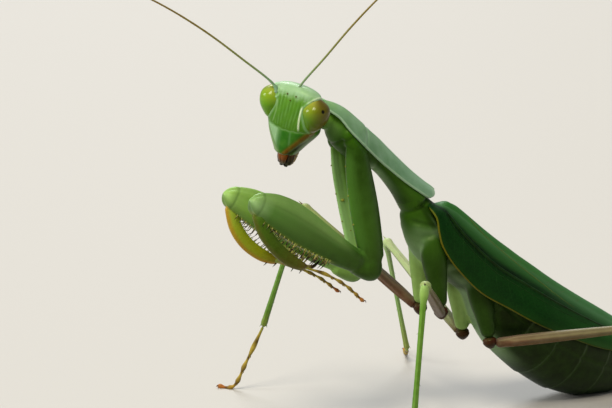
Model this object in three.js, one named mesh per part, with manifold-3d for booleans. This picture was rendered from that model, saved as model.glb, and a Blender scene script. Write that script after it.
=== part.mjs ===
// A life-size female praying mantis, a giant Asian mantis, standing on its four walking legs
// with the forelegs folded in front of it. Millimetres, +Z up, head towards -X.
import * as THREE from "three";
import { mergeVertices } from "three/addons/utils/BufferGeometryUtils.js";
import Module from "manifold-3d";

const wasm = await Module();
wasm.setup();

// ---------------------------------------------------------------- driving dimensions
const GAP = 0.15; // clearance left between neighbouring pieces
const SHELL = 0.55; // thickness of the wings and of the shield over the prothorax
const FLOOR = -1; // height of the ground in the working frame
const SOLE = FLOOR + 0.3; // height of a foot's centreline
const LEFT = -1; // the animal faces -X, so its left side is towards -Y
const RIGHT = 1;
const SIDES = [
  ["left", LEFT],
  ["right", RIGHT],
];
const point = (x, y, z) => new THREE.Vector3(x, y, z);
const UP = point(0, 0, 1);
const { degToRad, lerp, clamp, smoothstep } = THREE.MathUtils;

const finish = (colour, roughness) =>
  new THREE.MeshStandardMaterial({ color: colour, roughness, metalness: 0 });
const materials = {
  cuticle: finish(0x5d9a34, 0.45),
  shield: finish(0x86b88a, 0.5),
  wing: finish(0x1d6b2c, 0.4),
  abdomen: finish(0x2f5a24, 0.55),
  eye: finish(0x7c9a1c, 0.15),
  antenna: finish(0xa8883a, 0.5),
  tarsus: finish(0xa8883a, 0.5),
  shank: finish(0x8c7a52, 0.5),
  mouth: finish(0x3a1c10, 0.35),
};

// ---------------------------------------------------------------- shape helpers
// A size along a piece from [place, size] pairs, places running from 0 to 1, joined smoothly.
function sizes(...pairs) {
  const last = pairs.length - 1;
  const slope = (i) => {
    const [before, after] = [pairs[Math.max(0, i - 1)], pairs[Math.min(last, i + 1)]];
    return (after[1] - before[1]) / (after[0] - before[0]);
  };
  return (t) => {
    const next = pairs.findIndex(([place]) => place > t);
    const i = next < 0 ? last : Math.max(1, next);
    const [[p0, s0], [p1, s1]] = [pairs[i - 1], pairs[i]];
    const span = p1 - p0;
    const k = clamp((t - p0) / span, 0, 1);
    return (
      s0 * (1 + 2 * k) * (1 - k) ** 2 +
      s1 * k * k * (3 - 2 * k) +
      slope(i - 1) * span * k * (1 - k) ** 2 -
      slope(i) * span * k * k * (1 - k)
    );
  };
}
const curve = (...points) => new THREE.CatmullRomCurve3(points, false, "centripetal");

// A closed geometry as a solid.
function solid(geometry) {
  geometry.deleteAttribute("normal");
  geometry.deleteAttribute("uv");
  const merged = mergeVertices(geometry, 1e-4);
  return new wasm.Manifold(
    new wasm.Mesh({
      numProp: 3,
      vertProperties: merged.getAttribute("position").array,
      triVerts: new Uint32Array(merged.index.array),
    }),
  );
}

// Moves every vertex of a geometry to where place(vertex) says.
function warp(geometry, place) {
  const positions = geometry.getAttribute("position");
  const vertex = point(0, 0, 0);
  for (let i = 0; i < positions.count; i++)
    positions.setXYZ(i, ...place(vertex.fromBufferAttribute(positions, i)));
  return geometry;
}

// The point, direction, sideways direction and upper direction of a curve at t.
function frameAt(path, t, up) {
  const along = path.getTangentAt(t);
  const across = up.clone().cross(along).normalize();
  return { centre: path.getPointAt(t), along, across, top: along.clone().cross(across) };
}

// Rings stand closer together towards the rounded ends of a piece.
const crowd = (w) => w - (0.85 * Math.sin(2 * Math.PI * w)) / (2 * Math.PI);
const roundEnd = (share) => Math.sqrt(Math.max(0, 1 - (1 - Math.min(1, share)) ** 2));
const squared = (value, power) => Math.sign(value) * Math.abs(value) ** power;

// A limb or trunk along a curve. side, top and under are half sizes at t from 0 to 1, and the ends
// are rounded over the shares of the length in blunt. With cut = [t0, t1] only that length is made,
// with flat ends. A square under 1 makes the section boxier. grow makes it bigger all over, to cut
// a neighbour with.
function limb(spec, grow = 0) {
  const { path, up = UP, side, top = side, under = top, cut, square = 1 } = spec;
  const { sides = 8, steps = 9, blunt = [0.08, 0.08] } = spec;
  const shape = cut
    ? new THREE.CylinderGeometry(1, 1, 2, sides, steps)
    : new THREE.SphereGeometry(1, sides, steps);
  return solid(
    warp(shape, ({ x, y, z }) => {
      const radius = Math.hypot(x, z);
      const local = cut ? (1 - y) / 2 : crowd(Math.acos(clamp(y, -1, 1)) / Math.PI);
      const t = cut ? lerp(cut[0], cut[1], local) : local;
      const { centre, along, across, top: dorsal } = frameAt(path, t, up);
      const inset = cut
        ? Math.min(1, radius)
        : roundEnd(t / blunt[0]) * roundEnd((1 - t) / blunt[1]);
      const full = radius < 1e-4 ? 0 : inset / radius;
      const [cos, sin] = [x, z].map((value) => squared(value * full, square));
      const half = sin > 0 ? top(t) : under(t);
      return centre
        .addScaledVector(along, grow * (2 * local - 1))
        .addScaledVector(across, cos * (side(t) + grow))
        .addScaledVector(dorsal, sin * (half + grow));
    }),
  );
}

// A curved plate whose middle is surface(u, v), for u and v from 0 to 1.
function plate({ surface, thickness, lengthSteps, widthSteps }, grow = 0) {
  const box = new THREE.BoxGeometry(1, 1, 1, lengthSteps, widthSteps, 1);
  const tiny = 1e-3;
  return solid(
    warp(box, ({ x, y, z }) => {
      const [u, v] = [x + 0.5, y + 0.5];
      const [a, b] = [clamp(u, tiny, 1 - tiny), clamp(v, tiny, 1 - tiny)];
      const du = surface(a + tiny, b).sub(surface(a - tiny, b)).normalize();
      const dv = surface(a, b + tiny).sub(surface(a, b - tiny)).normalize();
      const normal = du.clone().cross(dv).normalize();
      return surface(u, v)
        .addScaledVector(normal, z * (thickness + 2 * grow))
        .addScaledVector(du, 2 * x * grow)
        .addScaledVector(dv, 2 * y * grow);
    }),
  );
}

// A thin pointed cone from one point to another.
function spike(from, to, radius, sides = 3) {
  const length = from.distanceTo(to);
  const direction = to.clone().sub(from).normalize();
  const cone = new THREE.ConeGeometry(radius, length, sides);
  cone.translate(0, length / 2, 0);
  cone.applyQuaternion(new THREE.Quaternion().setFromUnitVectors(point(0, 1, 0), direction));
  cone.translate(...from);
  return solid(cone);
}

const mantis = new THREE.Group();
mantis.name = "mantis";

// Adds a node: the shape less its neighbours, keeping the one biggest body.
function add(name, shape, material, neighbours = [], parent = mantis) {
  const cut = neighbours.reduce((rest, neighbour) => rest.subtract(neighbour), shape);
  const [body] = cut.decompose().sort((a, b) => b.volume() - a.volume());
  const { vertProperties, triVerts } = body.getMesh();
  const geometry = new THREE.BufferGeometry()
    .setAttribute("position", new THREE.BufferAttribute(new Float32Array(vertProperties), 3))
    .setIndex(new THREE.BufferAttribute(new Uint32Array(triVerts), 1));
  geometry.computeVertexNormals();
  const node = new THREE.Mesh(geometry, material);
  node.name = name;
  parent.add(node);
}

const groundDepth = 10;
const ground = solid(
  new THREE.BoxGeometry(200, 200, groundDepth).translate(0, 0, FLOOR - groundDepth / 2),
);

// ---------------------------------------------------------------- trunk
// One curve runs from inside the prothorax to the tip of the tail.
const trunk = {
  path: curve(
    point(-3.2, 0, 31),
    point(0.1, 0, 26.6),
    point(4.6, 0, 22.2),
    point(9.2, 0, 17.9),
    point(15.1, 0, 13),
    point(23, 0, 8.3),
    point(30.4, 0, 5),
    point(37.5, 0, 2.9),
    point(43, 0, 1.8),
    point(47.5, 0, 1.2),
  ),
  side: sizes(
    [0, 1.9], [0.08, 3.2], [0.2, 3.9], [0.32, 4.5], [0.45, 5.5],
    [0.65, 5.3], [0.82, 3.7], [0.95, 1.9], [1, 0.5],
  ),
  top: sizes(
    [0, 1.4], [0.06, 2.7], [0.1, 3.7], [0.2, 4.4], [0.3, 5.1], [0.42, 5.7],
    [0.65, 5], [0.82, 3.1], [0.95, 1.5], [1, 0.4],
  ),
  under: sizes(
    [0, 2.2], [0.09, 4], [0.15, 3.9], [0.22, 3.2], [0.27, 2.9], [0.32, 4.2], [0.37, 5.4],
    [0.45, 6.6], [0.6, 7.4], [0.7, 6.7], [0.77, 5.4], [0.86, 3.6], [0.95, 1.9], [1, 0.5],
  ),
  sides: 16,
};
const trunkPieces = [
  ["mesothorax", 0, 0.13, 4, materials.cuticle],
  ["metathorax", 0.13, 0.245, 4, materials.cuticle],
  ["abdomen_front", 0.245, 0.5, 5, materials.abdomen],
  ["abdomen_middle", 0.5, 0.75, 5, materials.abdomen],
  ["abdomen_rear", 0.75, 1, 6, materials.abdomen],
];
const seam = GAP / trunk.path.getLength();
const trunkCutters = trunkPieces.map(([name, start, end, steps, material]) => {
  const piece = { ...trunk, steps, cut: [start, end === 1 ? end : end - seam] };
  add(name, limb(piece), material, [ground]);
  return limb(piece, GAP);
});
const [, , , , tailCutter] = trunkCutters;

for (const [name, side] of SIDES) {
  const cercus = limb({
    path: curve(point(44.8, side * 1.5, 2.2), point(47, side * 2.6, 2.4), point(49, side * 3.3, 2.9)),
    side: sizes([0, 0.5], [0.5, 0.42], [1, 0.26]),
    sides: 6,
    steps: 6,
  });
  add(`cercus_${name}`, cercus, materials.abdomen, [tailCutter]);
}

// ---------------------------------------------------------------- prothorax and its shield
const shieldLean = 0.14; // the front of the body leans a little to its left
const keel = curve(
  point(-17.7, 0, 45.8),
  point(-15, 0, 44.9),
  point(-12.3, 0, 43),
  point(-7, 0, 38.2),
  point(-3.3, 0, 35),
  point(0.5, 0, 32.2),
);
const shieldWidth = sizes(
  [0, 1.5], [0.06, 2.3], [0.2, 3.2], [0.34, 3.6], [0.6, 2.9], [0.88, 2.6], [0.97, 2.3], [1, 1.7],
);
const shieldDrop = sizes([0, 0.9], [0.2, 2.2], [0.4, 2.4], [0.7, 1.9], [1, 1.2]);
const shield = {
  lengthSteps: 11,
  widthSteps: 6,
  thickness: SHELL,
  surface: (u, v) => {
    const { centre, across, top } = frameAt(keel, u, point(0, -shieldLean, 1));
    const reach = 1 - 2 * v;
    return centre
      .addScaledVector(across, reach * shieldWidth(u))
      .addScaledVector(top, -shieldDrop(u) * Math.abs(reach) ** 1.6);
  },
};
add("pronotum", plate(shield), materials.shield);
const shieldCutter = plate(shield, GAP);

const prothorax = {
  path: curve(
    point(-17.2, 0, 43.6),
    point(-14, 0, 41.8),
    point(-9.7, 0, 38.1),
    point(-5.4, 0, 33.9),
    point(-2.4, 0, 30.8),
  ),
  side: sizes([0, 1.5], [0.18, 2.6], [0.36, 2.6], [0.55, 1.9], [0.75, 2], [1, 2.6]),
  top: sizes([0, 1.6], [0.3, 1.9], [1, 2]),
  under: sizes([0, 1.6], [0.15, 2.9], [0.35, 3], [0.55, 1.6], [0.8, 1.7], [1, 2.5]),
  sides: 11,
  steps: 9,
  blunt: [0.12, 0.04],
};
add("prothorax", limb(prothorax), materials.cuticle, [shieldCutter, trunkCutters[0]]);
const prothoraxCutter = limb(prothorax, GAP);

// ---------------------------------------------------------------- wings
// Each forewing lies round the trunk, from the middle of the back down to its yellow front edge.
// Angles round the trunk are in degrees, 0 at the middle of the back and 90 at the side.
const wingEdge = sizes(
  [0, 72], [0.08, 108], [0.22, 116], [0.36, 101], [0.5, 91], [0.7, 80], [0.9, 62], [1, 40],
);
const wingBack = sizes([0, 14], [0.1, 4], [0.3, -8], [0.8, -12], [0.95, -9], [1, 6]);
const wingReach = [0.036, 0.93]; // shares of the trunk's curve that the wing runs over
const wingLift = { left: 0.75, right: 0 }; // the left wing lies over the right one
function wing(name, side) {
  return {
    lengthSteps: 13,
    widthSteps: 5,
    thickness: SHELL,
    surface: (u, v) => {
      const outward = side === LEFT ? v : 1 - v;
      const angle = lerp(wingBack(u), wingEdge(u), outward);
      const turn = degToRad(angle);
      const forward = 0.02 * Math.sin(turn) ** 2 * (1 - u) ** 3;
      const t = lerp(wingReach[0], wingReach[1], u) - forward;
      const { centre, across, top } = frameAt(trunk.path, t, UP);
      const overlap = smoothstep(30 - angle, 0, 24);
      const stand = 0.5 + 0.7 * outward + wingLift[name] * overlap + 0.9 * u * u;
      return centre
        .addScaledVector(across, side * (trunk.side(t) + stand) * Math.sin(turn))
        .addScaledVector(top, (trunk.top(t) + stand) * Math.cos(turn));
    },
  };
}
for (const [name, side] of SIDES) add(`forewing_${name}`, plate(wing(name, side)), materials.wing);

// ---------------------------------------------------------------- feet
// Half thickness of a foot: five beads, the first the longest, each swelling towards its far end.
const footJoints = [0, 0.4, 0.6, 0.76, 0.88, 1];
function beads(thin, thick) {
  return (t) => {
    const i = clamp(footJoints.findIndex((joint) => joint >= t), 1, 5);
    const k = (t - footJoints[i - 1]) / (footJoints[i] - footJoints[i - 1]);
    return lerp(thin, thick, Math.sin(Math.PI * k ** 1.6) ** 2);
  };
}
const foot = { side: beads(0.27, 0.42), sides: 5, steps: 12, blunt: [0.03, 0.04] };

// ---------------------------------------------------------------- forelegs
// Spines stand in a row along the underside of a limb, leaning along it.
function spineRow({ path, up = UP, top, under = top }, { count, from, to, inset, lean, length, radius }) {
  return Array.from({ length: count }, (_, i) => {
    const t = lerp(from, to, i / (count - 1));
    const { centre, along, across, top: dorsal } = frameAt(path, t, up);
    const depth = under(t);
    const root = centre.addScaledVector(dorsal, -depth * 0.75).addScaledVector(across, inset);
    const grown = length * (i % 2 ? 0.72 : 1);
    const tip = root
      .clone()
      .addScaledVector(dorsal, -depth * 0.25 - grown)
      .addScaledVector(along, lean * grown);
    return spike(root, tip, radius);
  });
}

const foreLegs = {
  left: {
    shoulder: point(-14, -2.2, 41.2),
    upperArm: point(-12.7, -2.4, 33),
    foreArm: point(-10.8, -2.05, 23.1),
    elbow: point(-10.8, -2, 22.7),
    fold: point(-12.6, -2.1, 23.3),
    shin: [
      point(-29.9, -3.6, 32.4), point(-28.7, -3.6, 29.6), point(-27.2, -3.6, 27.6),
      point(-25.2, -3.55, 25.8), point(-23.1, -3.5, 24.5), point(-22.2, -3.45, 24.2),
    ],
    foot: [
      point(-22.9, -4.5, 24.2), point(-20.2, -4.7, 23.2), point(-16.9, -4.6, 21.3), point(-13.7, -4.3, 18.6),
    ],
  },
  right: {
    shoulder: point(-13.8, 2.2, 41),
    upperArm: point(-11.5, 2.4, 32.2),
    foreArm: point(-9.9, 2.05, 22.5),
    elbow: point(-11.1, 2, 21.9),
    fold: point(-12.7, 2.1, 22.6),
    shin: [
      point(-29.9, 3.6, 32.4), point(-29, 3.6, 29.2), point(-27.6, 3.6, 27.1),
      point(-25.7, 3.55, 25.5), point(-23.5, 3.5, 24.3), point(-22.4, 3.45, 24),
    ],
    foot: [
      point(-22.6, 4.5, 23.6), point(-18.6, 4.7, 22.2), point(-15.4, 4.6, 20.6), point(-12.2, 4.3, 18.2),
    ],
  },
};

for (const [name, side] of SIDES) {
  const leg = foreLegs[name];
  const knee = point(-30.9, side * 3.6, 33.8);
  const coxa = {
    path: curve(leg.shoulder, leg.upperArm, leg.foreArm),
    up: point(-1, 0, 0.3),
    side: sizes([0, 1], [0.3, 1.25], [0.7, 1.4], [1, 1.3]),
    top: sizes([0, 1.1], [0.25, 2], [0.55, 2.2], [0.85, 1.85], [1, 1.6]),
    under: sizes([0, 0.9], [0.25, 1.5], [0.55, 1.85], [0.85, 1.75], [1, 1.6]),
    steps: 8,
    sides: 9,
    blunt: [0.06, 0.045],
  };
  const trochanter = {
    path: curve(
      leg.elbow.clone().add(point(1.5, 0, 0.3)),
      leg.elbow.clone().add(point(-0.8, 0, -0.1)),
      leg.elbow.clone().add(point(-3.9, 0, 0.2)),
    ),
    side: sizes([0, 1], [0.35, 1.45], [1, 0.8]),
    top: sizes([0, 1.6], [0.35, 1.7], [0.7, 0.9], [1, 0.4]),
    under: sizes([0, 1.6], [0.35, 1.95], [0.7, 1.2], [1, 0.5]),
    steps: 5,
    blunt: [0.35, 0.2],
  };
  const femur = {
    path: curve(leg.fold, point(-21, side * 2.85, lerp(leg.fold.z, knee.z, 0.465)), knee),
    side: sizes([0, 0.95], [0.35, 1.25], [0.75, 1.35], [0.93, 1.15], [1, 0.9]),
    top: sizes([0, 1.3], [0.25, 1.8], [0.62, 2.8], [0.8, 2.55], [0.92, 1.75], [1, 1]),
    under: sizes([0, 1.5], [0.3, 2.3], [0.6, 2.6], [0.9, 1.8], [1, 1.1]),
    sides: 10,
    steps: 8,
    blunt: [0.06, 0.07],
  };
  const tibia = {
    path: curve(...leg.shin),
    up: point(-0.75, 0, -0.66),
    side: sizes([0, 0.75], [0.4, 0.85], [1, 0.6]),
    top: sizes([0, 0.8], [0.3, 1], [0.75, 1.05], [1, 0.7]),
  };
  const shinEnd = leg.shin[5];
  const claw = {
    path: curve(
      shinEnd.clone().add(point(-1, -side * 0.15, 0.1)),
      shinEnd.clone().add(point(1, -side * 0.3, -0.2)),
      shinEnd.clone().add(point(2.5, -side * 0.45, 0.6)),
    ),
    side: sizes([0, 0.5], [0.5, 0.38], [1, 0.25]),
    sides: 6,
    steps: 5,
  };
  const tarsus = { ...foot, path: curve(...leg.foot) };
  const outerRow = { count: 4, from: 0.3, to: 0.64, lean: 0.5, length: 1.8, radius: 0.34, inset: 0.6 };
  const innerRow = { count: 5, from: 0.28, to: 0.8, lean: 0.35, length: 0.9, radius: 0.28, inset: -0.6 };
  const shinRow = { count: 5, from: 0.24, to: 0.84, lean: 0.6, length: 0.8, radius: 0.26, inset: 0.3 };
  const femurSpines = [outerRow, innerRow].flatMap((row) => spineRow(femur, row));
  const trochanterCutter = limb(trochanter, GAP);
  const femurCutter = limb(femur, GAP);
  const tibiaCutter = limb(tibia, GAP);
  const tibiaArms = wasm.Manifold.union([...spineRow(tibia, shinRow), limb(claw)]);
  add(`fore_coxa_${name}`, limb(coxa), materials.cuticle, [
    prothoraxCutter,
    shieldCutter,
    trochanterCutter,
    femurCutter,
  ]);
  add(`fore_trochanter_${name}`, limb(trochanter), materials.cuticle);
  add(`fore_femur_${name}`, wasm.Manifold.union([limb(femur), ...femurSpines]), materials.cuticle, [
    trochanterCutter,
    tibiaCutter,
    limb(claw, GAP),
  ]);
  add(`fore_tibia_${name}`, tibiaArms.subtract(femurCutter).add(limb(tibia)), materials.cuticle);
  add(`fore_tarsus_${name}`, limb(tarsus), materials.tarsus, [tibiaCutter, femurCutter]);
}

// ---------------------------------------------------------------- walking legs
// The points each walking leg runs through, from its root in the chest to the toe.
const walkingLegs = {
  mid_left: {
    root: point(-1.2, -2, 26.5),
    hip: point(-0.2, -3.4, 15.2),
    knee: point(-14.3, -19.4, 23.7),
    ankle: point(-16.6, -20.2, 3.3),
    toe: point(-22.2, -26.2, SOLE),
  },
  mid_right: {
    root: point(0.1, 2, 26.5),
    hip: point(1, 3.5, 14.4),
    knee: point(-9.4, 19.2, 28.4),
    ankle: point(-12.8, 25, 9.2),
    toe: point(-17.6, 31, SOLE),
  },
  hind_left: {
    root: point(6.4, -2.2, 20.5),
    hip: point(8.3, -3.6, 9.9),
    knee: point(27, -17.9, 13.2),
    ankle: point(41.5, -32.4, 2.4),
    toe: point(47.4, -39.4, SOLE),
  },
  hind_right: {
    root: point(6.6, 2.2, 20.5),
    hip: point(8.7, 3.6, 9.7),
    knee: point(8.6, 24, 20.8),
    ankle: point(15.9, 28.4, 1.3),
    toe: point(20.4, 35.6, SOLE),
  },
};

const between = (a, b, share) => a.clone().lerp(b, share);
for (const [name, { root, hip, knee, ankle, toe }] of Object.entries(walkingLegs)) {
  const [pair, sideName] = name.split("_");
  const coxa = {
    path: curve(root, between(root, hip, 0.5), between(root, hip, 0.92)),
    up: point(-1, 0, 0.3),
    side: sizes([0, 1.5], [0.4, 1.6], [0.8, 1.1], [1, 0.9]),
    top: sizes([0, 1.7], [0.35, 1.9], [0.7, 1.4], [1, 0.95]),
    blunt: [0.1, 0.08],
  };
  const trochanter = {
    path: curve(between(hip, root, 0.1), hip, between(hip, root, -0.07)),
    side: sizes([0, 0.85], [0.4, 1.05], [1, 0.75]),
    steps: 6,
    blunt: [0.35, 0.6],
  };
  const femur = {
    path: curve(between(hip, knee, 0.03), between(hip, knee, 0.5), knee),
    side: sizes([0, 0.85], [0.3, 0.92], [0.85, 0.55], [0.95, 0.64], [1, 0.56]),
    steps: 9,
    blunt: [0.03, 0.03],
  };
  const tibia = {
    path: curve(knee, between(knee, ankle, 0.5), ankle),
    side: sizes([0, 0.55], [0.06, 0.6], [0.12, 0.44], [0.6, 0.38], [0.95, 0.46], [1, 0.4]),
    sides: 6,
    steps: 10,
    blunt: [0.03, 0.02],
  };
  const ball = between(ankle, toe, 0.66).setZ(SOLE + 0.08);
  const instep = between(ankle, ball, 0.55).setZ(lerp(SOLE, ankle.z, 0.42));
  const tarsus = { ...foot, path: curve(ankle, instep, ball, toe) };
  const trochanterCutter = limb(trochanter, GAP);
  const tibiaCutter = limb(tibia, GAP);
  add(`${pair}_coxa_${sideName}`, limb(coxa), materials.cuticle, [
    ...trunkCutters,
    trochanterCutter,
  ]);
  add(`${pair}_trochanter_${sideName}`, limb(trochanter), materials.shank, trunkCutters);
  add(`${pair}_femur_${sideName}`, limb(femur), materials.shank, [trochanterCutter, tibiaCutter]);
  add(`${pair}_tibia_${sideName}`, limb(tibia), materials.cuticle);
  add(`${pair}_tarsus_${sideName}`, limb(tarsus), materials.tarsus, [tibiaCutter, ground]);
}

// ---------------------------------------------------------------- head
// In the head's own frame +X is the animal's right, +Y its face and +Z its crown,
// with the origin midway between the eyes. The head is turned and tipped towards its left.
const head = new THREE.Group();
head.name = "head_group";
head.position.set(-22.2, 0, 44.7);
const [tuck, tip, turn] = [10, 15.5, 27];
head.rotation.set(degToRad(-tuck), degToRad(-tip), degToRad(90 + turn), "ZXY");
head.updateMatrix();
mantis.add(head);
const FACE = point(0, 1, 0);

const capsule = {
  path: curve(point(0, -0.5, 3.5), point(0, -0.2, 0), point(0, 0.35, -3.2), point(0, 0.9, -6.2)),
  up: FACE,
  side: sizes([0, 3], [0.08, 3.4], [0.3, 3.5], [0.5, 3.45], [0.7, 2.8], [0.88, 1.85], [1, 1.2]),
  top: sizes([0, 1.2], [0.2, 1.6], [0.5, 1.75], [0.8, 1.5], [1, 1]),
  under: sizes([0, 1.6], [0.2, 2.3], [0.5, 4], [0.7, 4.6], [0.88, 3.5], [1, 2]),
  sides: 16,
  steps: 9,
  blunt: [0.1, 0.05],
  square: 0.85,
};
const eye = (side) => ({
  path: curve(point(side * 3.1, -0.3, 2.6), point(side * 3.35, -0.1, 0.3), point(side * 2.8, 0.3, -2.2)),
  up: FACE,
  side: sizes([0, 1.1], [0.25, 1.7], [0.5, 1.75], [0.8, 1.1], [1, 0.5]),
  top: sizes([0, 1.2], [0.25, 1.85], [0.55, 1.85], [0.8, 1.2], [1, 0.5]),
  sides: 11,
  steps: 6,
  blunt: [0.35, 0.15],
});
const labrum = {
  path: curve(point(0, 1.4, -6.1), point(0, 1.45, -6.9), point(0, 1.1, -7.8)),
  up: FACE,
  side: sizes([0, 0.9], [0.5, 0.8], [1, 0.4]),
  top: sizes([0, 0.4], [1, 0.3]),
  steps: 6,
  blunt: [0.1, 0.3],
};
const capsuleCutter = limb(capsule, GAP);
const labrumCutter = limb(labrum, GAP);
const eyeCutters = SIDES.map(([, side]) => limb(eye(side), GAP));
add("head", limb(capsule), materials.cuticle, eyeCutters, head);
add("labrum", limb(labrum), materials.mouth, [capsuleCutter], head);
const antennaPaths = {
  left: curve(
    point(-22.5, -1.1, 46.4), point(-22.3, -1.3, 47.5), point(-18.5, -2.2, 51.8),
    point(-15, -3, 55.7), point(-11.3, -4.2, 59.6), point(-4.6, -6.4, 66),
  ),
  right: curve(
    point(-24.1, 1, 46.9), point(-24.3, 1.3, 47.9), point(-28.4, 3, 51.6),
    point(-33.4, 5, 55.6), point(-39.3, 7, 59.3), point(-46.6, 9.6, 62.6),
  ),
};
for (const [name, side] of SIDES) {
  const mandible = {
    path: curve(point(side * 0.95, 0.1, -5.8), point(side * 0.95, 0.35, -7.1), point(side * 0.3, 0.6, -8)),
    up: FACE,
    side: sizes([0, 0.55], [0.6, 0.5], [1, 0.28]),
    top: sizes([0, 0.6], [1, 0.3]),
    steps: 6,
  };
  const palp = {
    path: curve(
      point(side * 1.1, -1.3, -6),
      point(side * 1.3, -0.8, -6.9),
      point(side * 1.1, -0.4, -7.5),
      point(side * 0.6, -0.2, -8),
    ),
    up: FACE,
    side: sizes([0, 0.3], [0.5, 0.3], [1, 0.25]),
    sides: 5,
    steps: 8,
  };
  const antenna = {
    path: antennaPaths[name],
    up: point(0, -1, 0.2),
    side: sizes([0, 0.42], [0.04, 0.42], [0.08, 0.28], [0.5, 0.27], [1, 0.26]),
    sides: 5,
    steps: 11,
    blunt: [0.02, 0.01],
  };
  add(`eye_${name}`, limb(eye(side)), materials.eye, [], head);
  add(`mandible_${name}`, limb(mandible), materials.mouth, [capsuleCutter, labrumCutter], head);
  add(`palp_${name}`, limb(palp), materials.mouth, [capsuleCutter, limb(mandible, GAP)], head);
  add(`antenna_${name}`, limb(antenna), materials.antenna, [
    capsuleCutter.transform(head.matrix.elements),
  ]);
}

// ---------------------------------------------------------------- neck
const neck = limb({
  path: curve(point(-20.6, 0, 43.4), point(-18.6, 0, 43.6), point(-16, 0, 42.9)),
  side: sizes([0, 1.3], [0.5, 1.35], [1, 1.5]),
  sides: 10,
  steps: 6,
});
add("neck", neck, materials.cuticle, [
  capsuleCutter.transform(head.matrix.elements),
  ...eyeCutters.map((cutter) => cutter.transform(head.matrix.elements)),
  prothoraxCutter,
  shieldCutter,
]);

// ---------------------------------------------------------------- the part's own frame
// The origin is on the floor, under the middle of the whole animal.
const middle = new THREE.Box3().setFromObject(mantis).getCenter(point(0, 0, 0));
mantis.position.set(-middle.x, -middle.y, -FLOOR);

export default mantis;
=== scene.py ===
from math import acos, atan2, cos, exp, hypot, pi, radians, sin

import bmesh
import bpy
import numpy as np
from mathutils import Euler, Matrix, Vector
from mathutils.kdtree import KDTree


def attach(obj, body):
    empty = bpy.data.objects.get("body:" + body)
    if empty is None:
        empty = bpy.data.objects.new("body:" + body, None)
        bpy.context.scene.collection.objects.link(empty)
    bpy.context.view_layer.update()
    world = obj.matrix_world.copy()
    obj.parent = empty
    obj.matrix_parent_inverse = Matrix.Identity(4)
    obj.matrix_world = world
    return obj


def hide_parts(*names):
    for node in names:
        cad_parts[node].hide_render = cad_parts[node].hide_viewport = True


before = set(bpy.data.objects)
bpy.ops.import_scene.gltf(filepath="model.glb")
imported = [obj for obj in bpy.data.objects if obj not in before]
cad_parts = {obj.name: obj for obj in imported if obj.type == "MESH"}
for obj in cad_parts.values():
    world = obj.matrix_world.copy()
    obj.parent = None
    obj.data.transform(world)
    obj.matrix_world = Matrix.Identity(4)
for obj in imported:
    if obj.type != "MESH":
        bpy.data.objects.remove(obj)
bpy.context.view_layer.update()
print("frame loaded")

# Shapes are worked out in millimetres: the middle of the body on y = 0, the head towards -x,
# the animal's left side towards -y. The finished mesh is then put in the frame, in metres.
home = Vector((-1.2, 1.9237, 1.0))
toFrame = Matrix.Scale(0.001, 4) @ Matrix.Translation(home)
floorLevel = -1.0
left, right = -1, 1
bothSides = (("Left", "left", left), ("Right", "right", right))


def clamp(value, low=0.0, high=1.0):
    return max(low, min(high, value))


def mix(a, b, share):
    return a + (b - a) * share


def ease(value, low, high):
    share = clamp((value - low) / (high - low))
    return share * share * (3 - 2 * share)


def fade(value, high, low):
    return 1 - ease(value, high, low)


def hump(value, middle, width):
    return exp(-(((value - middle) / width) ** 2))


# A size along a piece from (place, size) pairs, places from 0 to 1, joined smoothly
def sizes(*pairs):
    last = len(pairs) - 1
    slopes = []
    for i in range(last + 1):
        before, after = pairs[max(0, i - 1)], pairs[min(last, i + 1)]
        slopes.append((after[1] - before[1]) / (after[0] - before[0]))

    def at(t):
        i = max(1, next((n for n, pair in enumerate(pairs) if pair[0] > t), last))
        (p0, s0), (p1, s1) = pairs[i - 1], pairs[i]
        span = p1 - p0
        k = clamp((t - p0) / span)
        bend = slopes[i - 1] * (1 - k) - slopes[i] * k
        return s0 * (1 + 2 * k) * (1 - k) ** 2 + s1 * k * k * (3 - 2 * k) + span * k * (1 - k) * bend

    return at


# A smooth line through points, as a function of the share of its length
def lineThrough(*points, samples=240):
    stops = [Vector(p) for p in points]
    ends = [2 * stops[0] - stops[1], *stops, 2 * stops[-1] - stops[-2]]

    def between(t):
        i = min(int(t * (len(stops) - 1)), len(stops) - 2)
        k = t * (len(stops) - 1) - i
        p0, p1, p2, p3 = ends[i:i + 4]
        d0, d1, d2 = [max((b - a).length, 1e-4) ** 0.5 for a, b in ((p0, p1), (p1, p2), (p2, p3))]
        m1 = ((p1 - p0) / d0 - (p2 - p0) / (d0 + d1) + (p2 - p1) / d1) * d1
        m2 = ((p2 - p1) / d1 - (p3 - p1) / (d1 + d2) + (p3 - p2) / d2) * d1
        return (p1 * (1 + 2 * k) * (1 - k) ** 2 + m1 * k * (1 - k) ** 2
            + p2 * k * k * (3 - 2 * k) + m2 * k * k * (k - 1))

    steps = [between(n / samples) for n in range(samples + 1)]
    lengths = np.cumsum([0] + [(b - a).length for a, b in zip(steps, steps[1:])])

    def at(t):
        place = clamp(t) * lengths[-1]
        n = min(int(np.searchsorted(lengths, place, side="right")) - 1, samples - 1)
        share = (place - lengths[n]) / (lengths[n + 1] - lengths[n])
        return between((n + share) / samples)

    at.length = float(lengths[-1])
    return at


# The point, direction, sideways direction and upper direction of a line
def frameAt(line, t, up=(0, 0, 1)):
    ahead = (line(min(1, t + 2e-3)) - line(max(0, t - 2e-3))).normalized()
    across = Vector(up).cross(ahead).normalized()
    return line(t), ahead, across, ahead.cross(across)


def roundEnd(share):
    return max(0, 1 - (1 - min(1, share)) ** 2) ** 0.5


def squared(value, power):
    return abs(value) ** power * (1 if value > 0 else -1)


# Every mesh notes where each vertex is along its piece, and how far up its round (-1 to 1)
def addNotes(bm, *names):
    for name in ("along", "above", *names):
        bm.verts.layers.float.new(name)
    return bm


def newMesh(*names):
    return addNotes(bmesh.new(), *names)


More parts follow.
